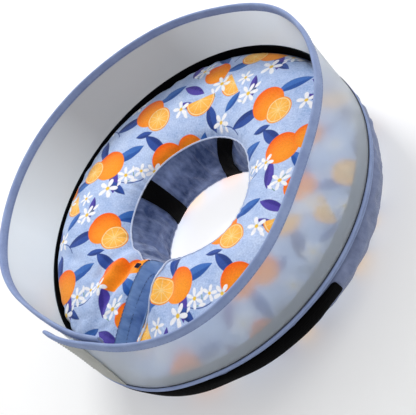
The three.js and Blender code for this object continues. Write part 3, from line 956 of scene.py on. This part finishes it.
def hook_cloth():
    """Black hooks on the inside, and the paler back of the strip where it faces out."""
    look = Finish("Hook strip", Roughness=0.7, Specular_IOR_Level=0.04)
    vector = look.lay()
    hooks = look.node(
        "ShaderNodeTexVoronoi", {"voronoi_dimensions": "2D"},
        {"Vector": vector, "Scale": 750.0, "Randomness": 0.35},
    )
    dots = 1.0 - Value(look, hooks.outputs["Distance"])
    black = look.blend(paint("010101"), paint("0b0b0d"), dots * 0.8)
    x, y, _ = look.split(look.place())
    facing_x, facing_y, _ = look.split(look.node("ShaderNodeTexCoord").outputs["Normal"])
    outer = (x * facing_x + y * facing_y).math("MULTIPLY", 8.0, clamp=True)
    look.set("Base Color", look.blend(black, paint("5f7388"), outer))
    look.bump(dots, 0.0006)
    return look.material


def thread(name, low, high):
    look = Finish(name, Roughness=0.55, Specular_IOR_Level=0.4)
    vector = look.lay()
    along, across, _ = look.split(vector)
    ply = ((along + across * 1.6) * (2 * math.pi / PLY_PITCH)).math("SINE")
    look.set("Base Color", look.blend(paint(low), paint(high), ply * 0.4 + 0.5))
    look.bump(ply, 0.0001)
    return look.material


def floor_paint():
    """A pale floor with a faint glow, brighter in the pool of light under the neck hole."""
    look = Finish("Pale floor", Roughness=0.85, Specular_IOR_Level=0.1, Emission_Strength=0.7)
    place = look.place()
    cloud = look.noise(place, 3.0, 2.0)
    look.set("Base Color", look.blend(paint("d2d2d2"), paint("d6d6d6"), cloud))
    x, y, _ = look.split(place)
    reach = (x * x + y * y).math("SQRT")
    pool = 1.0 - (reach - POOL_RADIUS).math("DIVIDE", POOL_FADE, clamp=True)
    look.set("Emission Color", look.blend(paint("b0b0b0"), paint("ffffff"), pool))
    return look.material


# Pieces of the ring

PANEL_PIECES = {
    "hole": ("plush_hole", "hole_wall", "plain_plush"),
    "front": ("print_front", "front_cover", "print_plush"),
    "gusset": ("plush_gusset", "side_gusset", "plain_plush"),
    "back": ("print_back", "back_cover", "print_plush"),
}
PRINT_TURN = -61.3
FLAT_RADIUS = {"hole": 0.072, "gusset": 0.19}  # radius at which the two upright panels are laid flat


def cloth_places(grid, name):
    """Where each point of a panel lies on the flat cloth, in metres."""
    across = run_across(grid)
    angle = np.unwrap(np.arctan2(grid[..., 1], grid[..., 0]), axis=0)
    if name in FLAT_RADIUS:
        return np.stack([angle * FLAT_RADIUS[name], across, np.zeros_like(across)], -1)
    radius = HOLE_RADIUS + (across if name == "front" else across[:, -1:] - across)
    turn = angle - math.radians(PRINT_TURN)
    seen_from = 1 if name == "front" else -1
    flat = [radius * np.cos(turn), radius * np.sin(turn) * seen_from]
    return np.stack([*flat, np.zeros_like(radius)], -1)


def pucker(grid, normals, name, strength):
    """Draws the cloth in along its two seams and gathers it there into small folds."""
    across = run_across(grid)
    along = np.linspace(0, 1, len(grid))[:, None]
    total = np.zeros(grid.shape[:2])
    for k, distance in enumerate((across, across[:, -1:] - across)):
        total -= SEAM_DRAW[name] * np.exp(-(distance / SEAM_DRAW_WIDTH) ** 2)
        seed = 20 * (k + 1) + len(name)
        size = 0.6 + 0.4 * ripple(along, seed, 5, 2, 9)
        folds = ripple(along + 0.004 * np.sin(distance * 90), seed + 1, 7, 34, 64)
        reach = 0.010 + 0.004 * ripple(along, seed + 2, 4, 3, 12)
        gather = np.exp(-((distance - 0.006) / np.maximum(reach, 0.005)) ** 2)
        total += strength * GATHER_HEIGHT * size * folds * gather
    return grid + normals * total[..., None]


def drag_folds(grid, normals):
    """Slanting folds that the tight end seam pulls into the front near the left end of the ring."""
    end = grid[-1:]
    away = np.linalg.norm(grid - end, axis=2)
    share = np.linspace(0, 1, grid.shape[1])[None, :]
    total = np.zeros(grid.shape[:2])
    for start, slope, width, height in FOLDS:
        middle = start + slope * share
        fades = np.exp(-((share - 0.3) / 0.34) ** 2)
        total += height * np.exp(-((away - middle) / width) ** 2) * fades
    return grid + normals * total[..., None]


def hole_creases(grid, normals):
    """Soft creases along the hole's wall, where the plush is pressed together."""
    along = np.linspace(0, 1, len(grid))[:, None]
    across = np.linspace(0, 1, grid.shape[1])[None, :]
    total = np.zeros(grid.shape[:2])
    arch = np.sin(math.pi * across)
    for k, (waves, height) in enumerate(WALL_WAVES):
        drift = 0.35 * ripple(along, 70 + k, 5, 2, 9)
        strength = np.clip(0.5 + 0.6 * ripple(along, 80 + k, 5, 3, 12), 0, 1.4)
        total += height * strength * np.sin(2 * math.pi * (waves * across + drift)) * arch
    upright = np.clip(ripple(along + 0.01 * across, 90, 6, 12, 30) - 0.4, 0, 2)
    total -= UPRIGHT_CREASE * upright * arch ** 0.7
    return grid + normals * total[..., None]


class RingWork:
    """The puffed ring, made once and shared by the pieces that are cut from it or lie on it."""

    made = None

    @classmethod
    def get(cls):
        if cls.made is None:
            raise RuntimeError("make the ring's cloth before the pieces that lie on it")
        return cls.made

    def __init__(self, sizes):
        self.ring = ClosedRing()
        unpuffed = self.ring.points
        self.ring.puff(sizes.pressure, sizes.slack, sizes.most_move)
        self.normals = self.ring.normals()
        self.panels = {}
        for name, (first, last) in SPANS.items():
            index = self.ring.grid[:, np.arange(first, last + 1) % LOOP_POINTS]
            grid = finer(self.ring.points[index])
            normals = unit(finer(self.normals[index]))
            if name == "front":
                grid = drag_folds(grid, normals)
            if name == "hole":
                grid = hole_creases(grid, normals)
            self.panels[name] = {
                "outer": pucker(grid, normals, name, sizes.gathers),
                "normals": normals,
                "lay": cloth_places(finer(unpuffed[index]), name),
            }
        faces, points = [], []
        for panel in self.panels.values():
            rows, columns = panel["outer"].shape[:2]
            faces += grid_faces(rows, columns, sum(map(len, points))).tolist()
            points.append(panel["outer"].reshape(-1, 3))
        self.tree = BVHTree.FromPolygons(np.concatenate(points).tolist(), faces)
        RingWork.made = self

    def hit(self, start, direction, reach):
        """The first point of the ring's cloth on a line, or None."""
        found = self.tree.ray_cast(Vector(start), Vector(direction), reach)
        return None if found[0] is None else np.array(found[0])


def make_panels(work, looks, sizes):
    for name, (piece, node, slot) in PANEL_PIECES.items():
        panel = work.panels[name]
        inner = panel["outer"] - panel["normals"] * sizes.cover_wall
        item = solid_sheet(piece, panel["outer"], inner, panel["lay"])
        place_piece(item, looks[name], [node])


def end_grid(work, side, sizes):
    """The creased cloth of one end: its outer and inner points, ring by ring inwards, and the
    outer and inner point in its middle."""
    levels, tip = work.ring.caps[side]
    points, normals = work.ring.points, work.normals
    towards = out_of_end(side)
    grid = points[levels]
    shares = np.linspace(0, 1, len(levels) + 1)[:-1][:, None]
    offset = grid - points[tip]
    x, y = offset @ level(math.radians(SPLIT_ANGLE)), offset[..., 2]
    slanted = (x * 0.8 + y * 0.9 * side) / 0.018
    crease = np.sin(slanted * 2.2 + 1.6 * np.sin(x / 0.02) + side) * smooth(shares, 0.0, 0.35)
    facing = np.exp(-((shares - FACING_SHARE) / FACING_WIDTH) ** 2) * smooth(y, 0.0, 0.02)
    lift = crease * sizes.gathers * END_CREASE - facing * FACING_DIP * (side < 0)
    grid = grid + towards * lift[..., None]
    grid[0] = points[levels[0]] + normals[levels[0]] * -0.0002
    inner = grid - (towards * 0.6 + normals[levels] * 0.4) * sizes.cover_wall
    return grid, inner, points[tip], points[tip] - towards * sizes.cover_wall


def make_end(work, side, look, sizes):
    """The plain cloth face that closes one end of the ring."""
    grid, inner, tip, inner_tip = end_grid(work, side, sizes)
    rows, count = grid.shape[:2]
    index = np.arange(rows * count).reshape(rows, count)
    after = np.roll(index, -1, axis=1)
    quads = np.stack([index[:-1], after[:-1], after[1:], index[1:]], -1).reshape(-1, 4).tolist()
    tips = np.stack([index[-1], after[-1], np.full(count, rows * count)], -1).tolist()
    size = rows * count + 1
    skin = quads + tips
    rim = np.stack([index[0] + size, after[0] + size, after[0], index[0]], -1).tolist()
    faces = skin + [[v + size for v in face[::-1]] for face in skin] + rim
    if side > 0:
        faces = [face[::-1] for face in faces]
    points = np.concatenate([grid.reshape(-1, 3), tip[None], inner.reshape(-1, 3), inner_tip[None]])
    radial = level(math.radians(SPLIT_ANGLE))
    lay = np.stack([points @ radial, points[:, 2], np.zeros(len(points))], -1)
    name = "right" if side > 0 else "left"
    item = make_piece(f"plush_end_{name}", points, faces, lay, 60)
    smoothing = item.modifiers.new("Finer cloth", "SUBSURF")
    smoothing.levels = smoothing.render_levels = 1
    place_piece(item, look, [f"end_cap_{name}"])


def make_end_hem(work, look):
    """The rolled edge of the front at the ring's right end, paler than the front's cloth; its pale colour
    is partly painted highlight.
    """
    panel = work.panels["front"]
    path = panel["outer"][1] + panel["normals"][1] * 0.0006
    place_piece(tube("right_end_hem", path[:-2], 0.0009, 10), look)


def make_facing_stitches(work, look):
    """Two rows of stitches along the facing of the left end."""
    levels, _ = work.ring.caps[-1]
    first, last = SPANS["front"]
    for name, (row, lift) in FACING_ROWS.items():
        index = levels[row, first:last - 1]
        normals = work.normals[index]
        path = work.ring.points[index] + normals * lift
        place_piece(stitches(name, path, normals, 0.00032), look)


def make_tack(work, look):
    """The zigzag tack at the left end's corner by the hole."""
    panel = work.panels["front"]
    column = panel["outer"][:, TACK_COLUMN]
    corner, normal = column[-3], panel["normals"][-3, TACK_COLUMN]
    along = unit(column[-1] - column[-9])
    across = np.cross(normal, along)
    steps = np.arange(TACK_STEPS + 1)
    zigzag = np.where(steps % 2 == 0, 1.0, -1.0) * TACK_HEIGHT / 2
    run = (steps / TACK_STEPS - 0.5) * TACK_LENGTH
    path = corner + along * run[:, None] + across * zigzag[:, None] + normal * 0.0014
    place_piece(tube("bar_tack", path, 0.00055, 6), look)


def seam_cord(work, name, panel, column, look, radius, lift):
    """A thin rolled seam that stands out between two panels."""
    grid, normals = work.panels[panel]["outer"], work.panels[panel]["normals"]
    path = grid[:, column] + normals[:, column] * lift
    place_piece(tube(name, path, radius), look)


# Shield

def shield_point(angle, up, offset):
    """A point of the shield: angle, distance up the slant and offset outwards from its middle."""
    angle, up, offset = np.broadcast_arrays(np.asarray(angle, float), up, offset)
    lean = np.radians(around_ring("lean", angle))
    peel = FLAP_PEEL * (1 - smooth((angle - FLAP_END) / LAP_EASE)) * (up / SHIELD_SLANT) ** 2
    wave = 0.0009 * (up / SHIELD_SLANT) ** 2 * np.sin(np.radians(angle) * 7 + 1.3)
    radius = SEAM_RADIUS + layer_offset(angle) + peel + wave + up * np.sin(lean) + offset * np.cos(lean)
    height = SEAM_HEIGHT + up * np.cos(lean) - offset * np.sin(lean)
    return polar(drawn_in(radius, angle), angle, height)


def along_shield(name, section, start, end, steps, taper=0.0, crease=50):
    """A piece with one section, as (offset, up) rows, that follows the shield."""
    section = np.asarray(section, float)
    angles = np.linspace(start, end, steps + 1)
    if taper:
        extra = np.degrees(taper * np.array([0.12, 0.35, 0.65]) / SEAM_RADIUS)
        angles = np.unique(np.concatenate([angles, start + extra, end - extra]))
    run = np.radians(angles - start) * SEAM_RADIUS
    near = np.minimum(run, run[-1] - run) / taper if taper else np.ones(len(run))
    scale = np.sqrt(np.clip(1 - (1 - np.clip(near, 0, 1)) ** 2, 0.03, 1))
    offsets = section[None, :, 0] * scale[:, None]
    middle = section[:, 1].mean()
    ups = middle + (section[None, :, 1] - middle) * (0.75 + 0.25 * scale[:, None])
    loops = shield_point(angles[:, None], ups, offsets)
    lay = np.stack(np.broadcast_arrays(run[:, None], run_along(section)[None], 0.0), -1)
    return loft(name, loops, lay, crease)


def sheet_section(outer, inner, rows):
    """A flat sheet's section: up along its outer face and down along its inner one."""
    return [(outer, up) for up in rows] + [(inner, up) for up in rows[::-1]]


def rim_section():
    """Folded tape over an edge: outer face up, round the top, down, and back through the slot."""
    half = RIM_BINDING_WIDTH / 2
    low = SHIELD_SLANT - RIM_BINDING_HEIGHT
    slot = SHIELD_WALL / 2 + 0.00035
    slot_top = SHIELD_SLANT + 0.0002
    top = SHIELD_SLANT + 0.0003 + half - SHIELD_WALL / 2 - ROOM
    rise = top - half * 1.3
    middle = mix(low, rise, 0.45)
    outer = [(half * 0.93, low), (half, low + 0.0006), (half + 0.0004, middle), (half, rise)]
    turn = np.radians([25, 50, 75, 90, 105, 130, 155])
    cap = [(half * math.cos(t), rise + half * 1.3 * math.sin(t)) for t in turn]
    back = [(-x, y) for x, y in outer[::-1]]
    groove = [(-slot, low), (-slot, slot_top), (slot, slot_top), (slot, low)]
    return outer + cap + back + groove


def foot_section():
    """An upright oval with flattened sides, just under the shield's foot."""
    half = FOOT_BINDING_WIDTH / 2
    middle = -FOOT_BINDING_HEIGHT / 2 - 0.00015
    tall = FOOT_BINDING_HEIGHT / 2 - 0.00015
    section = []
    for turn in np.radians(np.linspace(0, 360, 20, endpoint=False)):
        across, up = (math.copysign(abs(f(turn)) ** 0.6, f(turn)) for f in (math.cos, math.sin))
        section.append((half * across, middle + tall * up))
    return section


def make_shield_wall(look):
    half = SHIELD_WALL / 2
    section = sheet_section(half, -half, np.linspace(0, SHIELD_SLANT, 25))
    item = along_shield("frosted_wall", section, FLAP_END, TUCKED_END, 300, crease=40)
    place_piece(item, look, ["shield_wall"])


def make_bindings(look):
    rim = along_shield("rim_tape", rim_section(), FLAP_END - 0.6, TUCKED_END, 340, 0.0013)
    foot = along_shield("foot_tape", foot_section(), FLAP_END, TUCKED_END, 340, 0.003)
    place_piece(rim, look, ["rim_binding"])
    place_piece(foot, look, ["foot_binding"])


def make_foot_shade_cord(look):
    """A dark cord at the edge of the sheet's outer face, where it goes into the foot binding: painted shade
    in the seam.
    """
    turn = np.radians(np.linspace(0, 360, 8, endpoint=False))
    centre = SHIELD_WALL / 2 + 0.0004
    section = [(centre + 0.00045 * math.cos(t), 0.0005 + 0.0006 * math.sin(t)) for t in turn]
    item = along_shield("foot_seam", section, FLAP_END + 0.6, 200, 340, 0.002)
    place_piece(item, look)


def make_strip(look):
    outside = -SHIELD_WALL / 2 - ROOM
    section = sheet_section(outside, outside - STRIP_WALL, np.linspace(0.0002, STRIP_HEIGHT, 6))
    item = along_shield("hook_strip", section, *STRIP_SPAN, 300, crease=40)
    place_piece(item, look, ["inner_strip"])


def make_end_tape(look):
    inside = SHIELD_WALL / 2 + 0.0004
    start = FLAP_END + math.degrees(0.0015 / SEAM_RADIUS)
    end = start + math.degrees(TAPE_LENGTH / SEAM_RADIUS)
    rows = np.linspace(0.0004, SHIELD_SLANT - RIM_BINDING_HEIGHT - 0.0006, 18)
    section = sheet_section(inside + TAPE_WALL, inside, rows)
    item = along_shield("ribbed_tape", section, start, end, 90, crease=40)
    place_piece(item, look, ["end_tape"])


# Straps

def strap_face(work, angles, heights, lift):
    """Points on the gusset at the given angles and heights, carried across the split."""
    radius = np.full(angles.shape, np.nan)
    for index in np.ndindex(angles.shape):
        out = level(math.radians(angles[index]))
        start = out * STRAP_SEARCH[1] + np.array([0, 0, heights[index]])
        found = work.hit(start, -out, 0.1)
        if found is not None and np.linalg.norm(found[:2]) > STRAP_SEARCH[0]:
            radius[index] = np.linalg.norm(found[:2])
    for row in range(radius.shape[1]):
        column = radius[:, row]
        known = np.isfinite(column)
        radius[:, row] = np.interp(angles[:, row], angles[known, row], column[known])
    kernel = np.exp(-(np.arange(-STRAP_EASE, STRAP_EASE + 1) / (STRAP_EASE * 0.5)) ** 2)
    kernel /= kernel.sum()
    padded = np.pad(radius, ((STRAP_EASE, STRAP_EASE), (0, 0)), "reflect", reflect_type="odd")
    radius = np.stack([np.convolve(padded[:, i], kernel, "valid") for i in range(radius.shape[1])], 1)
    return polar(radius + lift, angles, heights)


def make_strap(work, look):
    """The closing strap round the outside, with its rounded free end."""
    middle = SEAM_HEIGHT - FOOT_BINDING_HEIGHT - STRAP_DROP - STRAP_WIDTH / 2
    rounded = STRAP_TIP - np.array([0.9, 0.6, 0.3, 0])
    angles = np.append(np.linspace(STRAP_START, STRAP_TIP - 1.2, 150), rounded)
    run = np.radians(STRAP_TIP - angles) * SEAM_RADIUS
    narrowing = 0.3 * (1 - np.clip(run / 0.0035, 0, 1)) ** 2
    half = STRAP_WIDTH / 2 * (1 - narrowing)
    heights = middle + half[:, None] * np.linspace(1, -1, 9)[None]
    turns = np.broadcast_to(angles[:, None], heights.shape)
    inner = strap_face(work, turns, heights, WEBBING_LIFT)
    outer = inner + polar(1.0, turns, 0.0) * STRAP_WALL
    lay = np.stack(np.broadcast_arrays(run[:, None], heights, 0.0), -1)
    place_piece(solid_sheet("black_strap", outer, inner, lay), look, ["closing_strap"])


def loop_face(work, angles, heights, sides, lift):
    """Points down the hole's wall, one row for each angle, its height and its lift off the cloth."""
    points = np.zeros((len(angles), len(sides), 3))
    for i, (angle, height) in enumerate(zip(angles, heights)):
        for k, side in enumerate(sides):
            out = level(math.radians(angle) + side * LOOP_WIDTH / 2 / LOOP_RADIUS)
            up = np.array([0, 0, height])
            found = work.hit(up + out * 0.03, out, 0.08)
            reach = HOLE_RADIUS - 0.004 if found is None else np.linalg.norm(found[:2])
            points[i, k] = out * (reach - lift[i]) + up
    points[1:-1] = (points[:-2] + 2 * points[1:-1] + points[2:]) / 4
    points[:, 1:-1] = (points[:, :-2] + 2 * points[:, 1:-1] + points[:, 2:]) / 4
    return points


def make_loops(work, look):
    """Webbing down the hole, sewn in at the top and the bottom, a little slack between."""
    edge = work.panels["hole"]["outer"][:, -1]
    edge_turns = np.degrees(np.unwrap(np.arctan2(edge[:, 1], edge[:, 0])))
    low = SECTION["hole"][0][1] * RING_HEIGHT + WEBBING_LIFT
    rows = np.linspace(0, 1, 25)
    sides = np.linspace(-1, 1, 9)
    slack = LOOP_SLACK * np.sin(math.pi * rows)
    lay = np.stack(np.broadcast_arrays(rows[:, None] * LOOP_LENGTH, sides * LOOP_WIDTH / 2, 0.0), -1)
    for number, loop in enumerate(LOOPS, 1):
        angles = mix(loop["top"], loop["foot"], rows)
        high = np.interp(loop["top"], edge_turns, edge[:, 2]) - ROOM - loop["below"]
        heights = mix(high, low, rows)
        outer, inner = (
            loop_face(work, angles, heights, sides, slack + lift)
            for lift in (WEBBING_LIFT + LOOP_WALL, WEBBING_LIFT)
        )
        item = solid_sheet(f"webbing_loop_{number}", outer, inner, lay)
        place_piece(item, look, [loop["name"]])


# Stage

CAMERA_RISE = 41.32      # degrees above the horizon
CAMERA_ROLL = -50.38     # degrees
CAMERA_REACH = 5.164 * SEAM_RADIUS
CAMERA_LENS = 84.69
LOOK_AT = np.array([0.0, 0.0, SEAM_HEIGHT])
FOCAL_PIXELS = 978.6
LOOK_OFFSET = (-10.6 / FOCAL_PIXELS, 2.2 / FOCAL_PIXELS)  # where that point lies, as slopes
LIGHT_AIM = (0, 0, 0.05)


def make_camera():
    """A camera that sees the collar from the photo's side, rolled as the photo is."""
    rise, roll = math.radians(CAMERA_RISE), math.radians(CAMERA_ROLL)
    right = np.array([1.0, 0.0, 0.0])
    up = np.array([0.0, math.sin(rise), math.cos(rise)])
    back = np.array([0.0, -math.cos(rise), math.sin(rise)])
    x = math.cos(roll) * right + math.sin(roll) * up
    y = -math.sin(roll) * right + math.cos(roll) * up
    z = unit(back + LOOK_OFFSET[0] * x + LOOK_OFFSET[1] * y)
    x = unit(x - (x @ z) * z)
    y = np.cross(z, x)
    data = bpy.data.cameras.new("Camera")
    data.lens, data.sensor_width = CAMERA_LENS, 36.0
    data.clip_start, data.clip_end = 0.05, 30.0
    camera = bpy.data.objects.new("Camera", data)
    bpy.context.scene.collection.objects.link(camera)
    place = Matrix(np.stack([x, y, z], 1).tolist()).to_4x4()
    place.translation = Vector(LOOK_AT + back * CAMERA_REACH)
    camera.matrix_world = place
    bpy.context.scene.camera = camera


def make_light(name, place, size, power):
    data = bpy.data.lights.new(name, "AREA")
    data.shape, data.size, data.energy = "DISK", size, power
    lamp = bpy.data.objects.new(name, data)
    bpy.context.scene.collection.objects.link(lamp)
    lamp.location = place
    lamp.rotation_mode = "QUATERNION"
    lamp.rotation_quaternion = (Vector(LIGHT_AIM) - Vector(place)).to_track_quat("-Z", "Y")


def make_floor():
    """A wide round floor just under the collar."""
    rings, sides = 8, 64
    turn = np.linspace(0, 360, sides, endpoint=False)
    points = [np.zeros((1, 3))]
    for radius in np.linspace(0.6, 5.0, rings):
        points.append(polar(radius, turn, 0.0))
    around, after = np.arange(sides), np.roll(np.arange(sides), -1)
    faces = [[0, 1 + a, 1 + b] for a, b in zip(around, after)]
    for k in range(rings - 1):
        inner, outer = 1 + k * sides, 1 + (k + 1) * sides
        faces += [[inner + a, outer + a, outer + b, inner + b] for a, b in zip(around, after)]
    item = make_piece("floor", np.concatenate(points), faces)
    item.location.z = -0.0006
    item.data.materials.append(floor_paint())


# Settings

def colour(name, description, code):
    """A colour setting that starts as the given paint."""
    return FloatVectorProperty(name=name, description=description, default=paint(code),
                               size=4, min=0, max=1, subtype="COLOR")


class CollarClothSettings(bpy.types.PropertyGroup):
    """How the ring's cloth is cut and blown up."""

    pressure: FloatProperty(name="Pressure", description="Air pressure in the ring",
                            default=4.0, min=0, max=20)
    slack: FloatProperty(name="Slack", description="Spare cloth between the seams, as a share",
                         default=0.014, min=0, max=0.2)
    most_move: FloatProperty(name="Most move", description="How far the cloth may move as it swells",
                             default=0.006, min=0, max=0.02, subtype="DISTANCE", unit="LENGTH")
    cover_wall: FloatProperty(name="Cloth thickness", description="Thickness of the plush with its backing",
                              default=0.0016, min=0.0005, max=0.004, subtype="DISTANCE", unit="LENGTH")
    gathers: FloatProperty(name="Gathers", description="Height of the small folds along the seams",
                           default=1.0, min=0, max=3)


class CollarColourSettings(bpy.types.PropertyGroup):
    """Colours of the cloth, the fruit on it, the bindings and the webbing, a dark and a light each."""

    ground_dark: colour("Print ground, dark", "Dark pile between the fruit", "96b1de")
    ground_light: colour("Print ground, light", "Light pile between the fruit", "cbdaf5")
    skin_light: colour("Fruit, lit side", "Skin of the whole fruit where it is lit", "ff9a22")
    skin_dark: colour("Fruit, shaded side", "Skin of the whole fruit where it is shaded", "fa6200")
    # The hole wall's dark and light colours are partly painted shade and painted sheen, beside the pile's
    # own tone.
    hole_pile_and_shade: colour("Hole wall, dark", "Dark pile of the panel round the neck hole", "3a4a72")
    hole_pile_and_sheen: colour("Hole wall, light", "Light pile of the panel round the neck hole", "8493ba")
    side_dark: colour("Side, dark", "Dark pile of the panel round the outside", "66708f")
    side_light: colour("Side, light", "Light pile of the panel round the outside", "828dae")
    end_dark: colour("Ends, dark", "Dark pile of the ring's two ends", "5f83ba")
    end_light: colour("Ends, light", "Light pile of the ring's two ends", "94b2e0")
    binding_dark: colour("Binding, dark", "Dark threads of the shield's bindings", "7688ba")
    binding_light: colour("Binding, light", "Light threads of the shield's bindings", "a6b8df")
    webbing_dark: colour("Webbing, dark", "Dark threads of the strap and the loops", "010101")
    webbing_light: colour("Webbing, light", "Light threads of the strap and the loops", "08080a")


class CollarStageSettings(bpy.types.PropertyGroup):
    """Light round the collar."""

    key_power: FloatProperty(name="Key light", description="Power of the large soft light",
                             default=21.0, min=0, max=500, unit="POWER")
    fill_power: FloatProperty(name="Fill light", description="Power of the light on the camera's side",
                              default=8.0, min=0, max=500, unit="POWER")
    sky: FloatProperty(name="Sky", description="Strength of the even light from all round",
                       default=0.6, min=0, max=5)


# Operators

class COLLAR_OT_ring_cover(bpy.types.Operator):
    """Make the puffed ring: printed front and back, plain hole wall and side gusset"""

    bl_idname = "collar.ring_cover"
    bl_label = "Ring Cover"

    def execute(self, context):
        sizes, colours = context.scene.collar_cloth, context.scene.collar_colours
        printed = print_plush(colours)
        # The hole wall's strong colour patches are partly painted shade and painted sheen.
        hole = plain_plush("Plain plush hole", colours.hole_pile_and_shade, colours.hole_pile_and_sheen, 4.0, 2.6)
        side = plain_plush("Plain plush side", colours.side_dark, colours.side_light)
        looks = {"front": printed, "back": printed, "hole": hole, "gusset": side}
        make_panels(RingWork(sizes), looks, sizes)
        return {"FINISHED"}


class COLLAR_OT_ring_ends(bpy.types.Operator):
    """Make the plain creased faces that close the ring's two ends, with their hem and stitches"""

    bl_idname = "collar.ring_ends"
    bl_label = "Ring Ends"

    def execute(self, context):
        work = RingWork.get()
        colours = context.scene.collar_colours
        look = plain_plush("Plain plush end", colours.end_dark, colours.end_light, 3.5)
        for side in (1, -1):
            make_end(work, side, look, context.scene.collar_cloth)
        # The hem's pale colour is partly painted highlight.
        make_end_hem(work, woven_tape("Hem cloth", paint("c6d3f2"), paint("e6ecfb")))
        make_facing_stitches(work, thread("Facing thread", "3c4f80", "5c71a6"))
        make_tack(work, thread("Tack thread", "101c44", "22346c"))
        return {"FINISHED"}


class COLLAR_OT_seams(bpy.types.Operator):
    """Make the thin rolled seams between the ring's panels"""

    bl_idname = "collar.seams"
    bl_label = "Ring Seams"

    def execute(self, context):
        work = RingWork.get()
        look = woven_tape("Seam cloth", paint("bccaea"), paint("dfe7f8"))
        seam_cord(work, "hole_seam", "front", 0, look, 0.0009, 0.0004)
        seam_cord(work, "hole_foot_seam", "hole", 0, look, 0.0008, 0.0003)
        seam_cord(work, "side_foot_seam", "gusset", -1, look, 0.0008, 0.0003)
        return {"FINISHED"}


class COLLAR_OT_shield(bpy.types.Operator):
    """Make the frosted shield sheet and the clear tape on its free end"""

    bl_idname = "collar.shield"
    bl_label = "Frosted Shield"

    def execute(self, context):
        make_shield_wall(frosted_sheet())
        make_end_tape(ribbed_tape())
        return {"FINISHED"}


class COLLAR_OT_bindings(bpy.types.Operator):
    """Make the woven bindings at the shield's rim and foot, and the hook strip inside its foot"""

    bl_idname = "collar.bindings"
    bl_label = "Bindings and Strip"

    def execute(self, context):
        colours = context.scene.collar_colours
        make_bindings(woven_tape("Binding cloth", colours.binding_dark, colours.binding_light))
        # The foot seam's dark cord is painted shade.
        make_foot_shade_cord(woven_tape("Seam shadow cloth", paint("232b3c"), paint("38425a")))
        make_strip(hook_cloth())
        return {"FINISHED"}


class COLLAR_OT_straps(bpy.types.Operator):
    """Make the closing strap and the three webbing loops in the hole"""

    bl_idname = "collar.straps"
    bl_label = "Straps"

    def execute(self, context):
        work, colours = RingWork.get(), context.scene.collar_colours
        look = webbing(colours.webbing_dark, colours.webbing_light)
        make_strap(work, look)
        make_loops(work, look)
        return {"FINISHED"}


class COLLAR_OT_stitching(bpy.types.Operator):
    """Make the rows of stitches along the bindings and the clear tape"""

    bl_idname = "collar.stitching"
    bl_label = "Stitching"

    def execute(self, context):
        pale = thread("Binding thread", "6c7bab", "8d9cc6")
        dark = thread("Dark thread", "40424a", "63656c")
        angles = np.linspace(FLAP_END, TUCKED_END - 1, 700)
        rim_face = RIM_BINDING_WIDTH / 2 + 0.0001
        up = SHIELD_SLANT - RIM_BINDING_HEIGHT + 0.0014
        for name, side in (("rim_stitches_outside", 1), ("rim_stitches_inside", -1)):
            path = shield_point(angles, up, side * rim_face)
            out = path - shield_point(angles, up, 0.0)
            place_piece(stitches(name, path, out, 0.00028), pale)
        start = np.full(60, FLAP_END + math.degrees(0.004 / SEAM_RADIUS))
        ups = np.linspace(0.002, SHIELD_SLANT - RIM_BINDING_HEIGHT - 0.002, 60)
        path = shield_point(start, ups, SHIELD_WALL / 2 + 0.0014)
        out = path - shield_point(start, ups, 0.0)
        place_piece(stitches("tape_stitches", path, out, 0.0003, 0.0026, 0.001), dark)
        return {"FINISHED"}


class COLLAR_OT_stage(bpy.types.Operator):
    """Make the pale floor, the soft lights and the camera"""

    bl_idname = "collar.stage"
    bl_label = "Stage"

    def execute(self, context):
        light = context.scene.collar_stage
        world = bpy.data.worlds.new("Soft sky")
        world.use_nodes = True
        sky = next(n for n in world.node_tree.nodes if n.type == "BACKGROUND")
        sky.inputs["Color"].default_value = (1.0, 1.0, 1.0, 1.0)
        sky.inputs["Strength"].default_value = light.sky
        context.scene.world = world
        context.scene.view_settings.view_transform = "Standard"
        make_floor()
        make_light("Key", (0.3, 1.2, 1.3), 0.6, light.key_power)
        make_light("Fill", (1.4, -0.15, 1.0), 1.0, light.fill_power)
        make_camera()
        return {"FINISHED"}


class COLLAR_PT_panel(bpy.types.Panel):
    """The collar's settings and the steps that make it"""

    bl_idname = "COLLAR_PT_panel"
    bl_label = "Recovery Collar"
    bl_space_type = "VIEW_3D"
    bl_region_type = "UI"
    bl_category = "Collar"

    def draw(self, context):
        scene = context.scene
        for settings in (scene.collar_cloth, scene.collar_colours, scene.collar_stage):
            box = self.layout.box()
            for name in settings.__annotations__:
                box.prop(settings, name)
        for operator in STEPS:
            self.layout.operator(operator.bl_idname)


STEPS = (
    COLLAR_OT_ring_cover, COLLAR_OT_ring_ends, COLLAR_OT_seams, COLLAR_OT_shield, COLLAR_OT_bindings,
    COLLAR_OT_straps, COLLAR_OT_stitching, COLLAR_OT_stage,
)
CLASSES = (
    CollarClothSettings, CollarColourSettings, CollarStageSettings, *STEPS, COLLAR_PT_panel,
)


def register():
    for cls in CLASSES:
        bpy.utils.register_class(cls)
    bpy.types.Scene.collar_cloth = PointerProperty(type=CollarClothSettings)
    bpy.types.Scene.collar_colours = PointerProperty(type=CollarColourSettings)
    bpy.types.Scene.collar_stage = PointerProperty(type=CollarStageSettings)


def unregister():
    del bpy.types.Scene.collar_stage
    del bpy.types.Scene.collar_colours
    del bpy.types.Scene.collar_cloth
    for cls in reversed(CLASSES):
        bpy.utils.unregister_class(cls)


def main():
    register()
    bpy.ops.collar.ring_cover()
    bpy.ops.collar.ring_ends()
    bpy.ops.collar.seams()
    bpy.ops.collar.shield()
    bpy.ops.collar.bindings()
    bpy.ops.collar.straps()
    bpy.ops.collar.stitching()
    bpy.ops.collar.stage()


if __name__ == "__main__":
    main()
